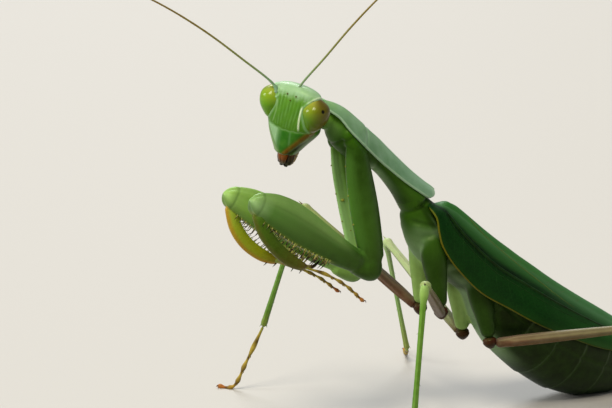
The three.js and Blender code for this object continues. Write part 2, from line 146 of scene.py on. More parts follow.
def notesOf(bm, *names):
    return [bm.verts.layers.float[name] for name in names]


# A limb round a line, from a sphere whose rings are spread along it.
# side, top and under are half sizes along it, and relief raises the surface.
def limb(bm, line, side, top=None, under=None, up=(0, 0, 1), sides=24, steps=32, blunt=(0.08, 0.08),
        square=1, relief=None, **rest):
    top = top or side
    under = under or top
    along, above = notesOf(bm, "along", "above")
    rings = {}
    made = bmesh.ops.create_uvsphere(bm, u_segments=sides, v_segments=steps, radius=1)["verts"]
    for v in made:
        w = acos(clamp(v.co.z, -1, 1)) / pi
        t = w - 0.85 * sin(2 * pi * w) / (2 * pi)  # rings close together at both ends
        key = round(t, 6)
        if key not in rings:
            ends = roundEnd(t / blunt[0]) * roundEnd((1 - t) / blunt[1])
            rings[key] = (*frameAt(line, t, up), ends, side(t), top(t), under(t))
        centre, ahead, across, dorsal, ends, halfSide, halfTop, halfUnder = rings[key]
        radius = hypot(v.co.x, v.co.y)
        c, s = (v.co.x / radius, v.co.y / radius) if radius > 1e-5 else (0, 0)
        extra = relief(t, c, s) if relief else 0
        v[along], v[above] = t, s
        v.co = (centre + across * squared(c * ends, square) * (halfSide + extra)
            + dorsal * squared(s * ends, square) * ((halfTop if s > 0 else halfUnder) + extra))
    return made


# A thorn: a curved cone of few faces
def thorn(bm, root, tip, radius, bend=(0, 0, 0), sides=7, steps=7):
    root, tip = Vector(root), Vector(tip)
    middle = (root + tip) / 2 + Vector(bend)
    limb(bm, line=lineThrough(root, middle, tip, samples=24), up=(tip - root).orthogonal(),
        side=sizes((0, radius), (0.5, radius * 0.62), (1, radius * 0.12)),
        sides=sides, steps=steps, blunt=(0.04, 0.04))


# A plate from a grid laid on surface(u, v)
def plate(bm, surface, lengthSteps, widthSteps, **rest):
    along, above = notesOf(bm, "along", "above")
    for v in bmesh.ops.create_grid(bm, x_segments=lengthSteps, y_segments=widthSteps, size=0.5)["verts"]:
        v[along], v[above] = v.co.x + 0.5, v.co.y + 0.5
        v.co = surface(v.co.x + 0.5, v.co.y + 0.5)


def faceOutward(bm):
    bm.normal_update()
    bmesh.ops.recalc_face_normals(bm, faces=bm.faces)
    bm.normal_update()


def smooth(bm, verts, times):
    for n in range(times):
        bmesh.ops.smooth_vert(bm, verts=verts, factor=0.5, use_axis_x=True, use_axis_y=True,
            use_axis_z=True)


# The finished mesh as a piece of the model. A sheet gets its thickness (mm) from a modifier.
def makePiece(bm, name, material, slot, *nodes, local=None, thickness=0, flip=False):
    if local:
        bmesh.ops.transform(bm, matrix=local, verts=bm.verts)
    if flip:
        bmesh.ops.reverse_faces(bm, faces=bm.faces)
    if not thickness:
        faceOutward(bm)
    bmesh.ops.transform(bm, matrix=toFrame, verts=bm.verts)
    mesh = bpy.data.meshes.new(name)
    bm.to_mesh(mesh)
    bm.free()
    mesh.shade_smooth()
    mesh.materials.append(material)
    piece = bpy.data.objects.new(name, mesh)
    bpy.context.scene.collection.objects.link(piece)
    if thickness:
        wall = piece.modifiers.new("thickness", "SOLIDIFY")
        wall.thickness = thickness / 1000
        wall.offset = 0
    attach(piece, "root")
    if nodes:
        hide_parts(*nodes)


# A limb that is a piece of its own
def makeLimb(name, material, slot, *nodes, local=None, **shape):
    bm = newMesh()
    limb(bm, **shape)
    makePiece(bm, name, material, slot, *nodes, local=local)


# sRGB hex to linear
def colour(text):
    channels = [int(text[i:i + 2], 16) / 255 for i in (0, 2, 4)]
    return (*[c / 12.92 if c <= 0.04045 else ((c + 0.055) / 1.055) ** 2.4 for c in channels], 1)


def newMaterial(name):
    material = bpy.data.materials.new(name)
    material.use_nodes = True
    material.node_tree.nodes.clear()
    return material, material.node_tree


# Adds a node and hands back the output named by give. Sockets get values or links, and stops fill
# a colour ramp.
def addNode(tree, kind, sockets=None, stops=None, give=0, **settings):
    node = tree.nodes.new("ShaderNode" + kind)
    for name, value in settings.items():
        setattr(node, name, value)
    for name, value in (sockets or {}).items():
        if isinstance(value, bpy.types.NodeSocket):
            tree.links.new(value, node.inputs[name])
        else:
            node.inputs[name].default_value = value
    if stops:
        elements = node.color_ramp.elements
        for place, text in stops[1:-1]:
            elements.new(place)
        for element, (place, text) in zip(elements, stops):
            element.position, element.color = place, colour(text)
    return node.outputs[give] if node.outputs else None


# What a cuticle is like unless its own dictionary says otherwise: sizes of clouds and pits in mm
cuticleLook = dict(
    cloud=1.6, cloudShare=0.35, pits=0.16, bump=0.35, bumpDepth=0.00004, fine=0.5,
    glow=0.08, glowDepth=0.0006, coat=0.03, bands=(), marks={}, second=None,
)


# Insect cuticle: a waxy shell, satin on its ridges, with light going a little way into it.
# along is the ramp down the piece, second a ramp of its own for another limb in the same skin,
# bands are laid over stretches of the round (from, to, share, colour) and marks over noted shares.
def cuticle(name, **look):
    look = {**cuticleLook, **look}
    material, tree = newMaterial(name)
    place = addNode(tree, "TexCoord", give="Object")
    second = look["second"]
    noted = {note: addNode(tree, "Attribute", give="Fac", attribute_name=note)
        for note in ("along", "above", *(second or ())[:2], *look["marks"])}
    tint = addNode(tree, "ValToRGB", {"Fac": noted["along"]}, look["along"])
    if second:
        placeNote, shareNote, stops = second
        other = addNode(tree, "ValToRGB", {"Fac": noted[placeNote]}, stops)
        tint = addNode(tree, "Mix", {0: noted[shareNote], 6: tint, 7: other}, give=2, data_type="RGBA")
    layers = [(addNode(tree, "MapRange",
        {"Value": noted["above"], "From Min": start, "From Max": end, "To Max": share},
        interpolation_type="SMOOTHSTEP"), tone) for start, end, share, tone in look["bands"]]
    layers += [(noted[note], tone) for note, tone in look["marks"].items()]
    cloud = addNode(tree, "TexNoise", {
        "Vector": place, "Scale": 1000 / look["cloud"], "Detail": 3, "Roughness": 0.6})
    layers.append((addNode(tree, "MapRange", {
        "Value": cloud, "From Min": 0.35, "From Max": 0.7, "To Max": look["cloudShare"]}), look["pale"]))
    for share, tone in layers:
        tint = addNode(tree, "Mix", {0: share, 6: tint, 7: colour(tone)}, give=2, data_type="RGBA")
    # pits of the cuticle, coarser than life so that they show, over a finer grain
    pits = addNode(tree, "TexVoronoi", {"Vector": place, "Scale": 1000 / look["pits"]}, feature="SMOOTH_F1")
    fine = addNode(tree, "TexNoise", {"Vector": place, "Scale": 1000 / look["fine"], "Detail": 4})
    height = addNode(tree, "Math", {0: pits, 1: fine}, operation="ADD")
    shell = addNode(tree, "BsdfPrincipled", {
        "Base Color": tint, "IOR": 1.5, "Specular IOR Level": 0.24, "Specular Tint": colour("b4d26e"),
        "Roughness": addNode(tree, "MapRange", {
            "Value": fine, "To Min": look["rough"] - 0.07, "To Max": look["rough"] + 0.09}),
        "Normal": addNode(tree, "Bump", {
            "Height": height, "Strength": look["bump"], "Distance": look["bumpDepth"]}),
        "Subsurface Weight": look["glow"], "Subsurface Radius": (0.5, 1.0, 0.25),
        "Subsurface Scale": look["glowDepth"], "Coat Weight": look["coat"], "Coat Roughness": 0.25})
    addNode(tree, "OutputMaterial", {"Surface": shell})
    return material


# The trunk: one line runs from inside the chest to the tip of the tail
trunk = dict(
    line=lineThrough((-3.2, 0, 31), (0.1, 0, 26.6), (4.6, 0, 22.2), (9.2, 0, 17.9), (15.1, 0, 13),
        (23, 0, 8.3), (30.4, 0, 5), (37.5, 0, 2.9), (43, 0, 1.8), (47.5, 0, 1.2)),
    side=sizes((0, 1.9), (0.08, 3.2), (0.2, 3.9), (0.32, 4.5), (0.45, 5.5),
        (0.65, 5.3), (0.82, 3.7), (0.95, 1.9), (1, 0.5)),
    top=sizes((0, 1.9), (0.06, 3), (0.1, 3.8), (0.2, 4.4), (0.3, 5.1), (0.42, 5.7),
        (0.65, 5), (0.82, 3.1), (0.95, 1.5), (1, 0.4)),
    under=sizes((0, 2.2), (0.09, 4), (0.15, 3.9), (0.22, 3.2), (0.27, 2.9), (0.32, 4.2), (0.37, 5.4),
        (0.45, 6.6), (0.6, 7.4), (0.7, 6.7), (0.77, 5.4), (0.86, 3.6), (0.95, 1.9), (1, 0.5)),
    sides=56, steps=120, blunt=(0.02, 0.02),
    rings=(0.245, 0.335, 0.425, 0.515, 0.605, 0.69, 0.77, 0.84, 0.9, 0.95),  # edges of the belly rings
)
prothorax = dict(
    line=lineThrough((-17.2, 0, 43.6), (-14, 0, 41.8), (-9.7, 0, 38.1), (-5.4, 0, 33.9), (-2.4, 0, 30.8)),
    side=sizes((0, 1.5), (0.18, 2.5), (0.36, 2.5), (0.55, 1.9), (0.75, 2), (1, 2.6)),
    top=sizes((0, 1.6), (0.3, 1.9), (1, 2)),
    under=sizes((0, 1.6), (0.15, 2.9), (0.35, 3), (0.55, 1.6), (0.8, 1.7), (1, 2.5)),
    sides=40, steps=60, blunt=(0.12, 0.04),
)
neck = dict(
    line=lineThrough((-21.2, 0, 43.6), (-18.6, 0, 43.6), (-16, 0, 42.9)),
    side=sizes((0, 1.3), (0.5, 1.35), (1, 1.5)),
    relief=lambda t, c, s: 0.08 * cos(2 * pi * t * 4),  # four folds of soft skin
    sides=32, steps=32,
)
# The points each walking leg runs through, from its root in the chest to the toe
sole = floorLevel + 0.3
walkingLegs = {
    ("mid", "left"): dict(root=(-1.2, -2, 26.5), hip=(-0.2, -3.4, 15.2),
        knee=(-14.3, -19.4, 23.7), ankle=(-16.6, -20.2, 3.3), toe=(-22.2, -26.2, sole)),
    ("mid", "right"): dict(root=(0.1, 2, 26.5), hip=(1, 3.5, 14.4),
        knee=(-9.4, 19.2, 28.4), ankle=(-12.8, 25, 9.2), toe=(-17.6, 31, sole)),
    ("hind", "left"): dict(root=(6.4, -2.2, 20.5), hip=(8.3, -3.6, 9.9),
        knee=(27, -17.9, 13.2), ankle=(41.5, -32.4, 2.4), toe=(47.4, -39.4, sole)),
    ("hind", "right"): dict(root=(6.6, 2.2, 20.5), hip=(8.7, 3.6, 9.7),
        knee=(8.6, 24, 20.8), ankle=(15.9, 28.4, 1.3), toe=(20.4, 35.6, sole)),
}


def walkingCoxa(leg):
    root, hip = Vector(leg["root"]), Vector(leg["hip"])
    return dict(
        line=lineThrough(root, root.lerp(hip, 0.5), root.lerp(hip, 0.92)),
        up=(-1, 0, 0.3),
        side=sizes((0, 1.5), (0.4, 1.6), (0.8, 1.1), (1, 0.9)),
        top=sizes((0, 1.7), (0.35, 1.9), (0.7, 1.4), (1, 0.95)),
        relief=lambda t, c, s: 0.14 * hump(abs(c), 1, 0.22) - 0.1 * hump(s, 0.6, 0.2),
        sides=32, steps=44, blunt=(0.1, 0.08),
    )


# Several limbs grown into one smooth surface, with room for the notes that colour it
def growSkin(pieces, voxel, smoothing, notes):
    bm = newMesh()
    for piece in pieces:
        limb(bm, **piece)
    faceOutward(bm)
    rough = bpy.data.meshes.new("draft")
    bm.to_mesh(rough)
    bm.free()
    draft = bpy.data.objects.new("draft", rough)
    bpy.context.scene.collection.objects.link(draft)
    grow = draft.modifiers.new("grow", "REMESH")
    grow.mode, grow.voxel_size = "VOXEL", voxel
    grown = bpy.data.meshes.new_from_object(draft.evaluated_get(bpy.context.evaluated_depsgraph_get()))
    bpy.data.objects.remove(draft)
    bm = bmesh.new()
    bm.from_mesh(grown)
    smooth(bm, bm.verts, smoothing)
    bm.normal_update()
    return addNotes(bm, *notes)


# Finds the place on a set of lines that lies nearest to a point
def nearestPlace(pieces, samples=300):
    stations = [(n, t, *frameAt(piece["line"], t, piece.get("up", (0, 0, 1))))
        for n, piece in enumerate(pieces) for t in np.linspace(0, 1, samples)]
    tree = KDTree(len(stations))
    for n, station in enumerate(stations):
        tree.insert(station[2], n)
    tree.balance()
    return lambda point: stations[tree.find(point)[1]]


# The keel of the shield over the first chest ring, and its sizes along that keel
keel = lineThrough((-17.7, 0, 45.8), (-15, 0, 44.9), (-12.3, 0, 43), (-7, 0, 38.2), (-3.3, 0, 35),
    (0.5, 0, 32.2))
shield = dict(
    lean=0.14,  # the front of the body leans a little to its left
    width=sizes((0, 1.5), (0.06, 2.3), (0.2, 3.2), (0.34, 3.6), (0.6, 2.9), (0.88, 2.6), (0.96, 2.3),
        (1, 2)),
    drop=sizes((0, 0.9), (0.2, 2.2), (0.4, 2.4), (0.7, 1.9), (1, 1.3)),
    thickness=0.3, teeth=60, toothHeight=0.04, grooveAt=0.345,
    lengthSteps=300, widthSteps=44,
)

# The skin of the body: neck, chest, belly and the walking legs' roots grown into one surface
bodySkin = dict(
    voxel=0.2, smoothing=3, ringHeight=0.15, foldHeight=0.18, underShield=0.3, creaseDepth=0.14,
    seams=(0.07, 0.125, 0.18), seamDepth=0.22, ridges=(0.088, 0.143, 0.197), ridgeHeight=0.16,
)
shoulders = [dict(  # the rim round each foreleg's root
    line=lineThrough((-15.4, side * 2, 41.7), (-14, side * 2.4, 40.2), (-12.3, side * 2.1, 38.5)),
    side=sizes((0, 0.5), (0.5, 0.95), (1, 0.6)), top=sizes((0, 0.8), (0.5, 1.5), (1, 0.8)),
    sides=28, steps=28) for side in (left, right)]
scutellum = dict(  # the hump between the shield and the wings
    line=lineThrough((-1.2, 0, 29.3), (0.9, 0, 29.8), (3, 0, 28.2)),
    side=sizes((0, 1), (0.5, 1.7), (1, 1)), top=sizes((0, 0.3), (0.5, 0.45), (1, 0.3)),
    under=sizes((0, 1), (1, 1)), sides=28, steps=28)
bm = growSkin((trunk, prothorax, neck, scutellum, *shoulders,
    *[walkingCoxa(leg) for leg in walkingLegs.values()]),
    bodySkin["voxel"], bodySkin["smoothing"], ("edge", "chest", "front", "alongFront", "lit"))
placeOnBody = nearestPlace([trunk, prothorax], samples=501)
placeOnKeel = nearestPlace([dict(line=keel, up=(0, -shield["lean"], 1))])
placeOnRoots = nearestPlace([walkingCoxa(leg) for leg in walkingLegs.values()], samples=60)
litRoots = [side == "right" for pair, side in walkingLegs]
along, above, edge, chest, front, alongFront, lit = notesOf(
    bm, "along", "above", "edge", "chest", "front", "alongFront", "lit")


# How far a belly ring stands out at t, and how close t is to a ring's edge
def ringAt(t):
    edges = (*trunk["rings"], 1.0)
    n = next((i for i, place in enumerate(edges[1:]) if t < place), len(edges) - 2)
    share = clamp((t - edges[n]) / (edges[n + 1] - edges[n]))
    return share ** 2 * fade(share, 0.965, 1), fade(min(share, 1 - share), 0.02, 0.1)


# How far a point of the skin has to move to stay under the shield
def underShield(point):
    n, u, centre, ahead, across, dorsal = placeOnKeel(point)
    x, y = (point - centre).dot(across), (point - centre).dot(dorsal)
    width = shield["width"](u)
    ceiling = (-shield["drop"](u) * min(abs(x) / width, 1) ** 1.6 - bodySkin["underShield"]
        - 1.1 * max(0, abs(x) - width))
    return dorsal * float(min(0, ceiling - y)) if 0.003 < u < 0.997 else Vector()


# Presses a skin down under the shield and smooths it there
def tuckUnderShield(bm):
    near = [v for v in bm.verts if -19 < v.co.x < 2 and v.co.z > 29]
    for n in range(3):
        pressed = [(v, underShield(v.co)) for v in near]
        moved = [v for v, push in pressed if push.length > 1e-4]
        for v, push in pressed:
            v.co += push
        smooth(bm, moved, 1)


# How far along the trunk the wing's front edge lies, by height on the side of the body
costaPlace = sizes((-0.45, 0.23), (-0.31, 0.108), (0, 0.035), (0.31, 0.02))
for v in bm.verts:
    n, t, centre, ahead, across, dorsal = placeOnBody(v.co)
    offset = v.co - centre
    hollowShade = fade((v.co - Vector((0.9, 0, 30.6))).length, 1.6, 3)  # painted shade in the hollow between the shield and the wings
    x, y = offset.dot(across), offset.dot(dorsal)
    height = y / max(hypot(x, y), 1e-6)
    v[above] = height
    if n:  # neck and first chest ring
        v[front], v[alongFront] = fade(t, 0.75, 1), t
        crease = (hump(t - 0.06 * height, 0.2, 0.014)
            + hump(t + 0.08 * height, 0.47, 0.014)) * fade(height, 0.3, 0.8)
        v.co -= v.normal * bodySkin["creaseDepth"] * crease
        throat = ease(-height, 0.5, 0.95) * ease(t, 0.4, 0.55) * fade(t, 0.55, 0.88)
        collar = fade(t, 0.05, 0.16) * ease(-height, -0.3, 0.6) * ease(v.co.x, -18.4, -17.4)
        # edge: painted shade in the creases and in the hollow
        v[edge], v[chest] = clamp(0.6 * crease + 0.6 * hollowShade), clamp(0.75 * throat + 0.15 * collar)
    else:
        halfTop = trunk["top"](t) if y > 0 else trunk["under"](t)
        reach = hypot(x / trunk["side"](t), y / halfTop)
        onTrunk = ease(reach, 0.75, 0.92) * fade(reach, 1.1, 1.25)
        belly = onTrunk * ease(t, 0.24, 0.27)
        lift, rim = ringAt(t)
        fold = hump(height, -0.28, 0.07)  # the soft fold between back plates and belly plates
        v.co += v.normal * belly * (bodySkin["ringHeight"] * lift - bodySkin["foldHeight"] * fold)
        # oblique seams between the plates of the chest
        chestShare = onTrunk * fade(t, 0.22, 0.26) * fade(abs(height), 0.75, 0.95)
        slant = t - 0.05 * height
        seam = sum(hump(slant, place, 0.006) for place in bodySkin["seams"])
        ridge = sum(hump(slant, place, 0.012) for place in bodySkin["ridges"]) * fade(height, -0.1, 0.25)
        v.co += v.normal * chestShare * (bodySkin["ridgeHeight"] * ridge - bodySkin["seamDepth"] * seam)
        v.co.z = max(v.co.z, floorLevel)
        v[along] = t
        # painted shadow on the side of the chest just in front of the wing's front edge
        start = costaPlace(clamp(height, -0.45, 0.31))
        shade = ease(t, start - 0.08, start - 0.015) * fade(t, 0.24, 0.3)
        # edge: dark joints at the belly rings' edges, with painted shade in the soft folds, the hollow and
        # the wing's shadow
        v[edge] = clamp(max(belly * max(rim * 0.9, fold * 0.6), hollowShade, 0.8 * shade))
        streak = ease(sin(7 * height + 25 * t + 2 * sin(5 * height)), 0.3, 1)
        # painted highlight on the lower front of the chest, carried by the chest mark
        throat = ease(-height, 0.45, 0.95) * ease(t, 0.02, 0.1) * fade(t, 0.14, 0.2) * onTrunk
        mottled = chestShare * ease(t, 0.02, 0.08) * fade(height, 0, 0.35)
        midline = 0.6 * belly * ease(-height, 0.84, 0.98) * fade(t, 0.4, 0.5)
        v[chest] = max(clamp(mottled * (0.3 * ridge + 0.3 * streak) + 0.55 * throat), midline)
        if t < 0.3:
            v[above] = max(height, mix(-0.1, height, ease(t, 0.16, 0.26)))
        if v.co.x < 14:  # painted shade on the legs' roots on the left side and painted light on the right
            n, t, centre = placeOnRoots(v.co)[:3]
            near = fade((v.co - centre).length, 1.7, 2.6)
            v[lit] = 0.75 * near * litRoots[n] * ease(t, 0.1, 0.4)
            v[edge] = mix(v[edge], 0 if litRoots[n] else 0.8, near * ease(t, 0.1, 0.4))
tuckUnderShield(bm)
# Green cuticle under a satin wax, nearly black below the wings and darker underneath, both painted shade,
# with pale streaks on the chest
bodyGreen = cuticle("bodyCuticle",
    along=[(0, "2c5009"), (0.05, "2c4e0f"), (0.14, "2c4a0f"), (0.22, "34540f"), (0.28, "0d1f07"),
        (0.4, "051203"), (0.6, "040e03"), (0.8, "0e220a"), (1, "2f5a26")],
    bands=[(0.1, 0.8, 0.22, "5f9440"), (-0.1, -0.9, 0.5, "0d1f08")],
    second=("alongFront", "front", [
        (0, "5a8a1e"), (0.12, "366404"), (0.4, "2a5404"), (0.6, "305808"), (1, "3a5f18")]),
    marks=dict(edge="1a3208", chest="88a878", lit="8cab5c"),
    pale="35561c", cloud=1.5, cloudShare=0.2, rough=0.44,
)
makePiece(bm, "bodySkin", bodyGreen, "thorax", "neck", "prothorax", "mesothorax", "metathorax",
    "abdomen_front", "abdomen_middle", "abdomen_rear",
    *[f"{pair}_coxa_{side}" for pair in ("mid", "hind") for side in ("left", "right")])
print("body skin")

# Tail feelers: short, tapered, in ten rings
# Thin dull cuticle that pales towards the tips
tailGreen = cuticle("tailCuticle",
    along=[(0, "2f5a22"), (1, "5a7a34")], pale="7f9c5a", rough=0.5, cloud=0.8)
for name, node, side in bothSides:
    makeLimb("cercus" + name, tailGreen, "abdomen", f"cercus_{node}",
        line=lineThrough((44.8, side * 1.5, 2.2), (47, side * 2.6, 2.4), (49, side * 3.3, 2.9)),
        side=sizes((0, 0.5), (0.5, 0.4), (1, 0.16)),
        relief=lambda t, c, s: 0.05 * abs(sin(pi * t * 10)), sides=16, steps=60)
print("tail feelers")

# The shield: a keeled plate with a cross groove, a rounded rear end and finely toothed rims
def shieldSurface(u, v):
    narrowing = mix(0.2, 1, roundEnd((1 - u) / 0.07))
    centre, ahead, across, dorsal = frameAt(keel, u, (0, -shield["lean"], 1))
    reach = 1 - 2 * v
    rim = ease(abs(reach), 0.86, 1)
    pointed = (1 - abs((u * shield["teeth"]) % 1 * 2 - 1)) ** 1.5
    tooth = shield["toothHeight"] * rim * fade(u, 0.86, 0.92) * pointed
    rise = (0.16 * hump(reach, 0, 0.07) * ease(u, shield["grooveAt"] + 0.02, 0.5)  # keel on the rear part
        - 0.08 * hump(reach, 0, 0.04) * fade(u, 0.25, 0.34)  # fine furrow on the front part
        - 0.1 * hump(u, shield["grooveAt"] + 0.03 * reach ** 2, 0.012) * (1 - rim)
        + 0.08 * hump(u, shield["grooveAt"] - 0.035, 0.025) * hump(abs(reach), 0.45, 0.3)
        + 0.1 * ease(abs(reach), 0.93, 1) * fade(u, 0.85, 0.95)  # turned-up rim
        + 0.06 * hump(u, 0.965, 0.03)
        + 0.1 * fade(u, 0, 0.02))
    return (centre + across * reach * (shield["width"](u) * narrowing + tooth)
        + dorsal * (rise - shield["drop"](u) * narrowing ** 1.6 * abs(reach) ** 1.6))


bm = newMesh("rim", "ridge")
plate(bm, **shield, surface=shieldSurface)
rim, ridge, along, above = notesOf(bm, "rim", "ridge", "along", "above")
for v in bm.verts:
    reach = 1 - 2 * v[above]
    # rim: pale side rims, and a painted highlight on the rear lip
    v[rim] = 0.8 * max(ease(abs(reach), 0.95, 0.99), ease(v[along], 0.95, 0.99))
    # ridge: painted highlight along the keel of the rear part, and pale along the cross groove
    v[ridge] = (0.8 * hump(reach, 0, 0.09) * ease(v[along], 0.36, 0.5)
        + 0.5 * hump(v[along], shield["grooveAt"], 0.012))
    v[above] = 1 - abs(reach)
# Waxy cuticle: a pale blue-green bloom over coarse pits, with light rims and painted highlights on the keel
# and the rear lip
shieldGreen = cuticle("shieldCuticle",
    along=[(0, "7fae6c"), (0.3, "769c72"), (0.7, "6d9770"), (1, "7fa482")],
    bands=[(0.7, 0.1, 0.5, "4a7450")],
    marks=dict(rim="a4c2a0", ridge="8cae8c"),
    pale="8fb093", cloud=1.8, cloudShare=0.4, rough=0.44, pits=0.22, bump=0.5,
)
makePiece(bm, "pronotum", shieldGreen, "shield", "pronotum", thickness=shield["thickness"])
print("shield")

# Forewings: leathery, folded round the back, the left one lying over the right one.
# Angles round the trunk are in degrees, 0 at the middle of the back and 90 at the side.
wingEdge = sizes((0, 72), (0.08, 108), (0.22, 116), (0.36, 101), (0.5, 91), (0.7, 80), (0.9, 62), (1, 40))
wingBack = sizes((0, 5), (0.05, -1), (0.3, -8), (0.8, -12), (0.95, -9), (1, 6))
wing = dict(
    reach=(0.036, 0.93), lift={left: 0.75, right: 0}, thickness=0.2,
    lengthSteps=150, widthSteps=44,
    # long veins: first and last place along, start, end (shares of the way to the front edge),
    # half thickness, dark share, brown share
    longVeins=((0.02, 0.9, 0.6, 0.7, 0.24, 1, 0), (0.03, 0.9, 0.68, 0.78, 0.06, 0.6, 0),
        (0.12, 0.55, 0.16, 0.6, 0.08, 0, 0.8)),
    branches=12, crossVeins=20,
)


def wingSurface(side, lift, u, outward, stand=0.0):
    angle = mix(wingBack(u), wingEdge(u), outward)
    turn = radians(angle)
    t = (mix(*wing["reach"], u) - 0.02 * sin(turn) ** 2 * (1 - u) ** 3
        - 0.035 * (2 * outward - 1) ** 2 * ease(u, 0.8, 1))  # rounded at the tip
    centre, ahead, across, dorsal = frameAt(trunk["line"], t)
    overlap = fade(angle, 6, 30)
    rooted = ease(u, 0, 0.035)  # the wing grows out of the back
    out = mix(-0.45, 0.5, rooted) + 0.7 * outward + rooted * lift * overlap + 0.9 * u * u + stand
    return (centre + across * side * (trunk["side"](t) + out) * sin(turn)
        + dorsal * (trunk["top"](t) + out) * cos(turn))


# The share of the way to the front edge at which the long dark vein runs
def darkVeinAt(u):
    return mix(0.6, 0.7, u)


# Veins are thin round strands half sunk in the wing
def strand(bm, points, radius, sides=6, steps=24):
    return limb(bm, line=lineThrough(*points, samples=60), side=radius, sides=sides, steps=steps,
        up=(0.3, 0, 1), blunt=(0.02, 0.02))


# Leathery wing: deep green, with small cells pressed between fine veins
def wingLeather(name, **look):
    material, tree = newMaterial(name)
    place = addNode(tree, "TexCoord", give="Object")
    along, above = [addNode(tree, "Attribute", give="Fac", attribute_name=note)
        for note in ("along", "above")]
    front, rear = [addNode(tree, "ValToRGB", {"Fac": above}, look[end]) for end in ("front", "rear")]
    share = addNode(tree, "MapRange", {"Value": along, "From Min": 0.3, "From Max": 0.85},
        interpolation_type="SMOOTHSTEP")
    cells = addNode(tree, "TexVoronoi", {"Vector": place, "Scale": 1000 / look["cell"]},
        feature="DISTANCE_TO_EDGE")
    vein = addNode(tree, "MapRange", {
        "Value": cells, "From Min": 0.0, "From Max": 0.12, "To Min": 0.12, "To Max": 0.0})
    cloud = addNode(tree, "TexNoise", {"Vector": place, "Scale": 1000 / look["cloud"], "Detail": 3})
    cloud = addNode(tree, "MapRange", {"Value": cloud, "From Min": 0.4, "From Max": 0.75, "To Max": 0.25})
    tint = front
    for part, tone in ((share, rear), (vein, colour(look["vein"])), (cloud, colour(look["pale"]))):
        tint = addNode(tree, "Mix", {0: part, 6: tint, 7: tone}, give=2, data_type="RGBA")
    leather = addNode(tree, "BsdfPrincipled", {
        "Base Color": tint, "Roughness": 0.42, "IOR": 1.5, "Specular IOR Level": 0.16,
        "Normal": addNode(tree, "Bump", {"Height": vein, "Strength": 0.5, "Distance": 0.00005}),
        "Specular Tint": colour("9cd070"), "Subsurface Weight": 0.04, "Subsurface Radius": (0.4, 1.0, 0.2),
        "Subsurface Scale": 0.0005, "Coat Weight": 0.02, "Coat Roughness": 0.3})
    addNode(tree, "OutputMaterial", {"Surface": leather})
    return material


# Deep green leather with a soft gloss, lighter along the back and dark beside the long vein
wingGreen = wingLeather("wingLeather",
    front=[(0, "35702e"), (0.3, "2f6426"), (0.52, "1f4a18"), (0.59, "031604"), (0.65, "031604"),
        (0.72, "0a2e0a"), (0.9, "06260a"), (1, "0f300c")],
    rear=[(0, "4f8454"), (0.3, "3c6e3e"), (0.6, "285624"), (0.67, "123a10"), (0.73, "143c10"),
        (0.8, "1c4a16"), (0.9, "143a0f"), (1, "28481c")],
    vein="1f5a1e", pale="124210", cell=0.55, cloud=3.5)  # cell and cloud in mm
# The wing's own cuticle, darker and smoother where it stands up as veins
veinGreen = cuticle("veinCuticle",
    along=[(0, "0a2c0b"), (1, "174016")], marks=dict(dark="061a05", brown="6a6a30"),
    pale="1f4f1c", rough=0.45, cloud=1.2)
# Horny olive-brown rim along the front edge, turning green and darker towards the tip: the darkening is
# painted shade
costaBrown = cuticle("costaCuticle",
    along=[(0, "4f5a10"), (0.1, "66600f"), (0.3, "54500f"), (0.55, "34400c"), (1, "304810")],
    pale="6a6420", cloudShare=0.2, rough=0.45)
for name, node, side in bothSides:
    lift = wing["lift"][side]
    bm = newMesh()
    plate(bm, **wing, surface=lambda u, v: wingSurface(side, lift, u, v))
    makePiece(bm, "forewing" + name, wingGreen, "wing", f"forewing_{node}",
        thickness=wing["thickness"], flip=side == right)
    bm = newMesh("dark", "brown")
    dark, brown = notesOf(bm, "dark", "brown")
    for u0, u1, start, end, radius, darkShare, brownShare in wing["longVeins"]:
        points = [wingSurface(side, lift, mix(u0, u1, k), mix(start, end, k ** 0.8), 0.11 - 0.4 * radius)
            for k in np.linspace(0, 1, 26)]
        for v in strand(bm, points, sizes((0, radius), (0.7, radius * 0.8), (1, radius * 0.4)), steps=60):
            v[dark], v[brown] = darkShare, brownShare
    for n in range(wing["branches"]):  # oblique veins from the long ones back to the inner edge
        u0 = mix(0.06, 0.82, n / (wing["branches"] - 1))
        start = darkVeinAt(u0)
        points = [wingSurface(side, lift, min(0.985, u0 + 0.2 * k ** 0.8), mix(start, 0.06, k), 0.06)
            for k in np.linspace(0, 1, 9)]
        for v in strand(bm, points, sizes((0, 0.05), (1, 0.035)), sides=6, steps=16):
            v[brown] = 0.4
    for n in range(wing["crossVeins"]):  # curved veins from the dark one down to the front edge
        u0 = mix(0.03, 0.84, n / (wing["crossVeins"] - 1))
        start = darkVeinAt(u0 ** 0.8)
        points = [wingSurface(side, lift, u0 + 0.07 * k ** 1.5, mix(start, 0.98, k), 0.028)
            for k in np.linspace(0, 1, 6)]
        strand(bm, points, sizes((0, 0.09), (1, 0.07)), sides=8, steps=16)
    makePiece(bm, "wingVeins" + name, veinGreen, "wing")
    bm = newMesh()
    points = [wingSurface(side, lift, u, 1.0) for u in np.linspace(0.005, 0.99, 40)]
    strand(bm, points, sizes((0, 0.14), (0.5, 0.12), (1, 0.08)), sides=8, steps=90)
    makePiece(bm, "wingCosta" + name, costaBrown, "wing")
print("wings")

# Feet: five joints, the first the longest, each swelling towards its far end, then two claws
foot = dict(joints=(0, 0.4, 0.6, 0.76, 0.88, 1), thin=0.2, thick=0.38, pad=0.11, claw=0.12)


def beads(slender):
    def at(t):
        i = max(1, next(n for n, joint in enumerate(foot["joints"]) if joint >= min(t, 1) - 1e-9))
        start, end = foot["joints"][i - 1:i + 1]
        k = (t - start) / (end - start)
        return mix(foot["thin"] * slender, foot["thick"] * slender, sin(pi * clamp(k) ** 1.6) ** 2)

    return at


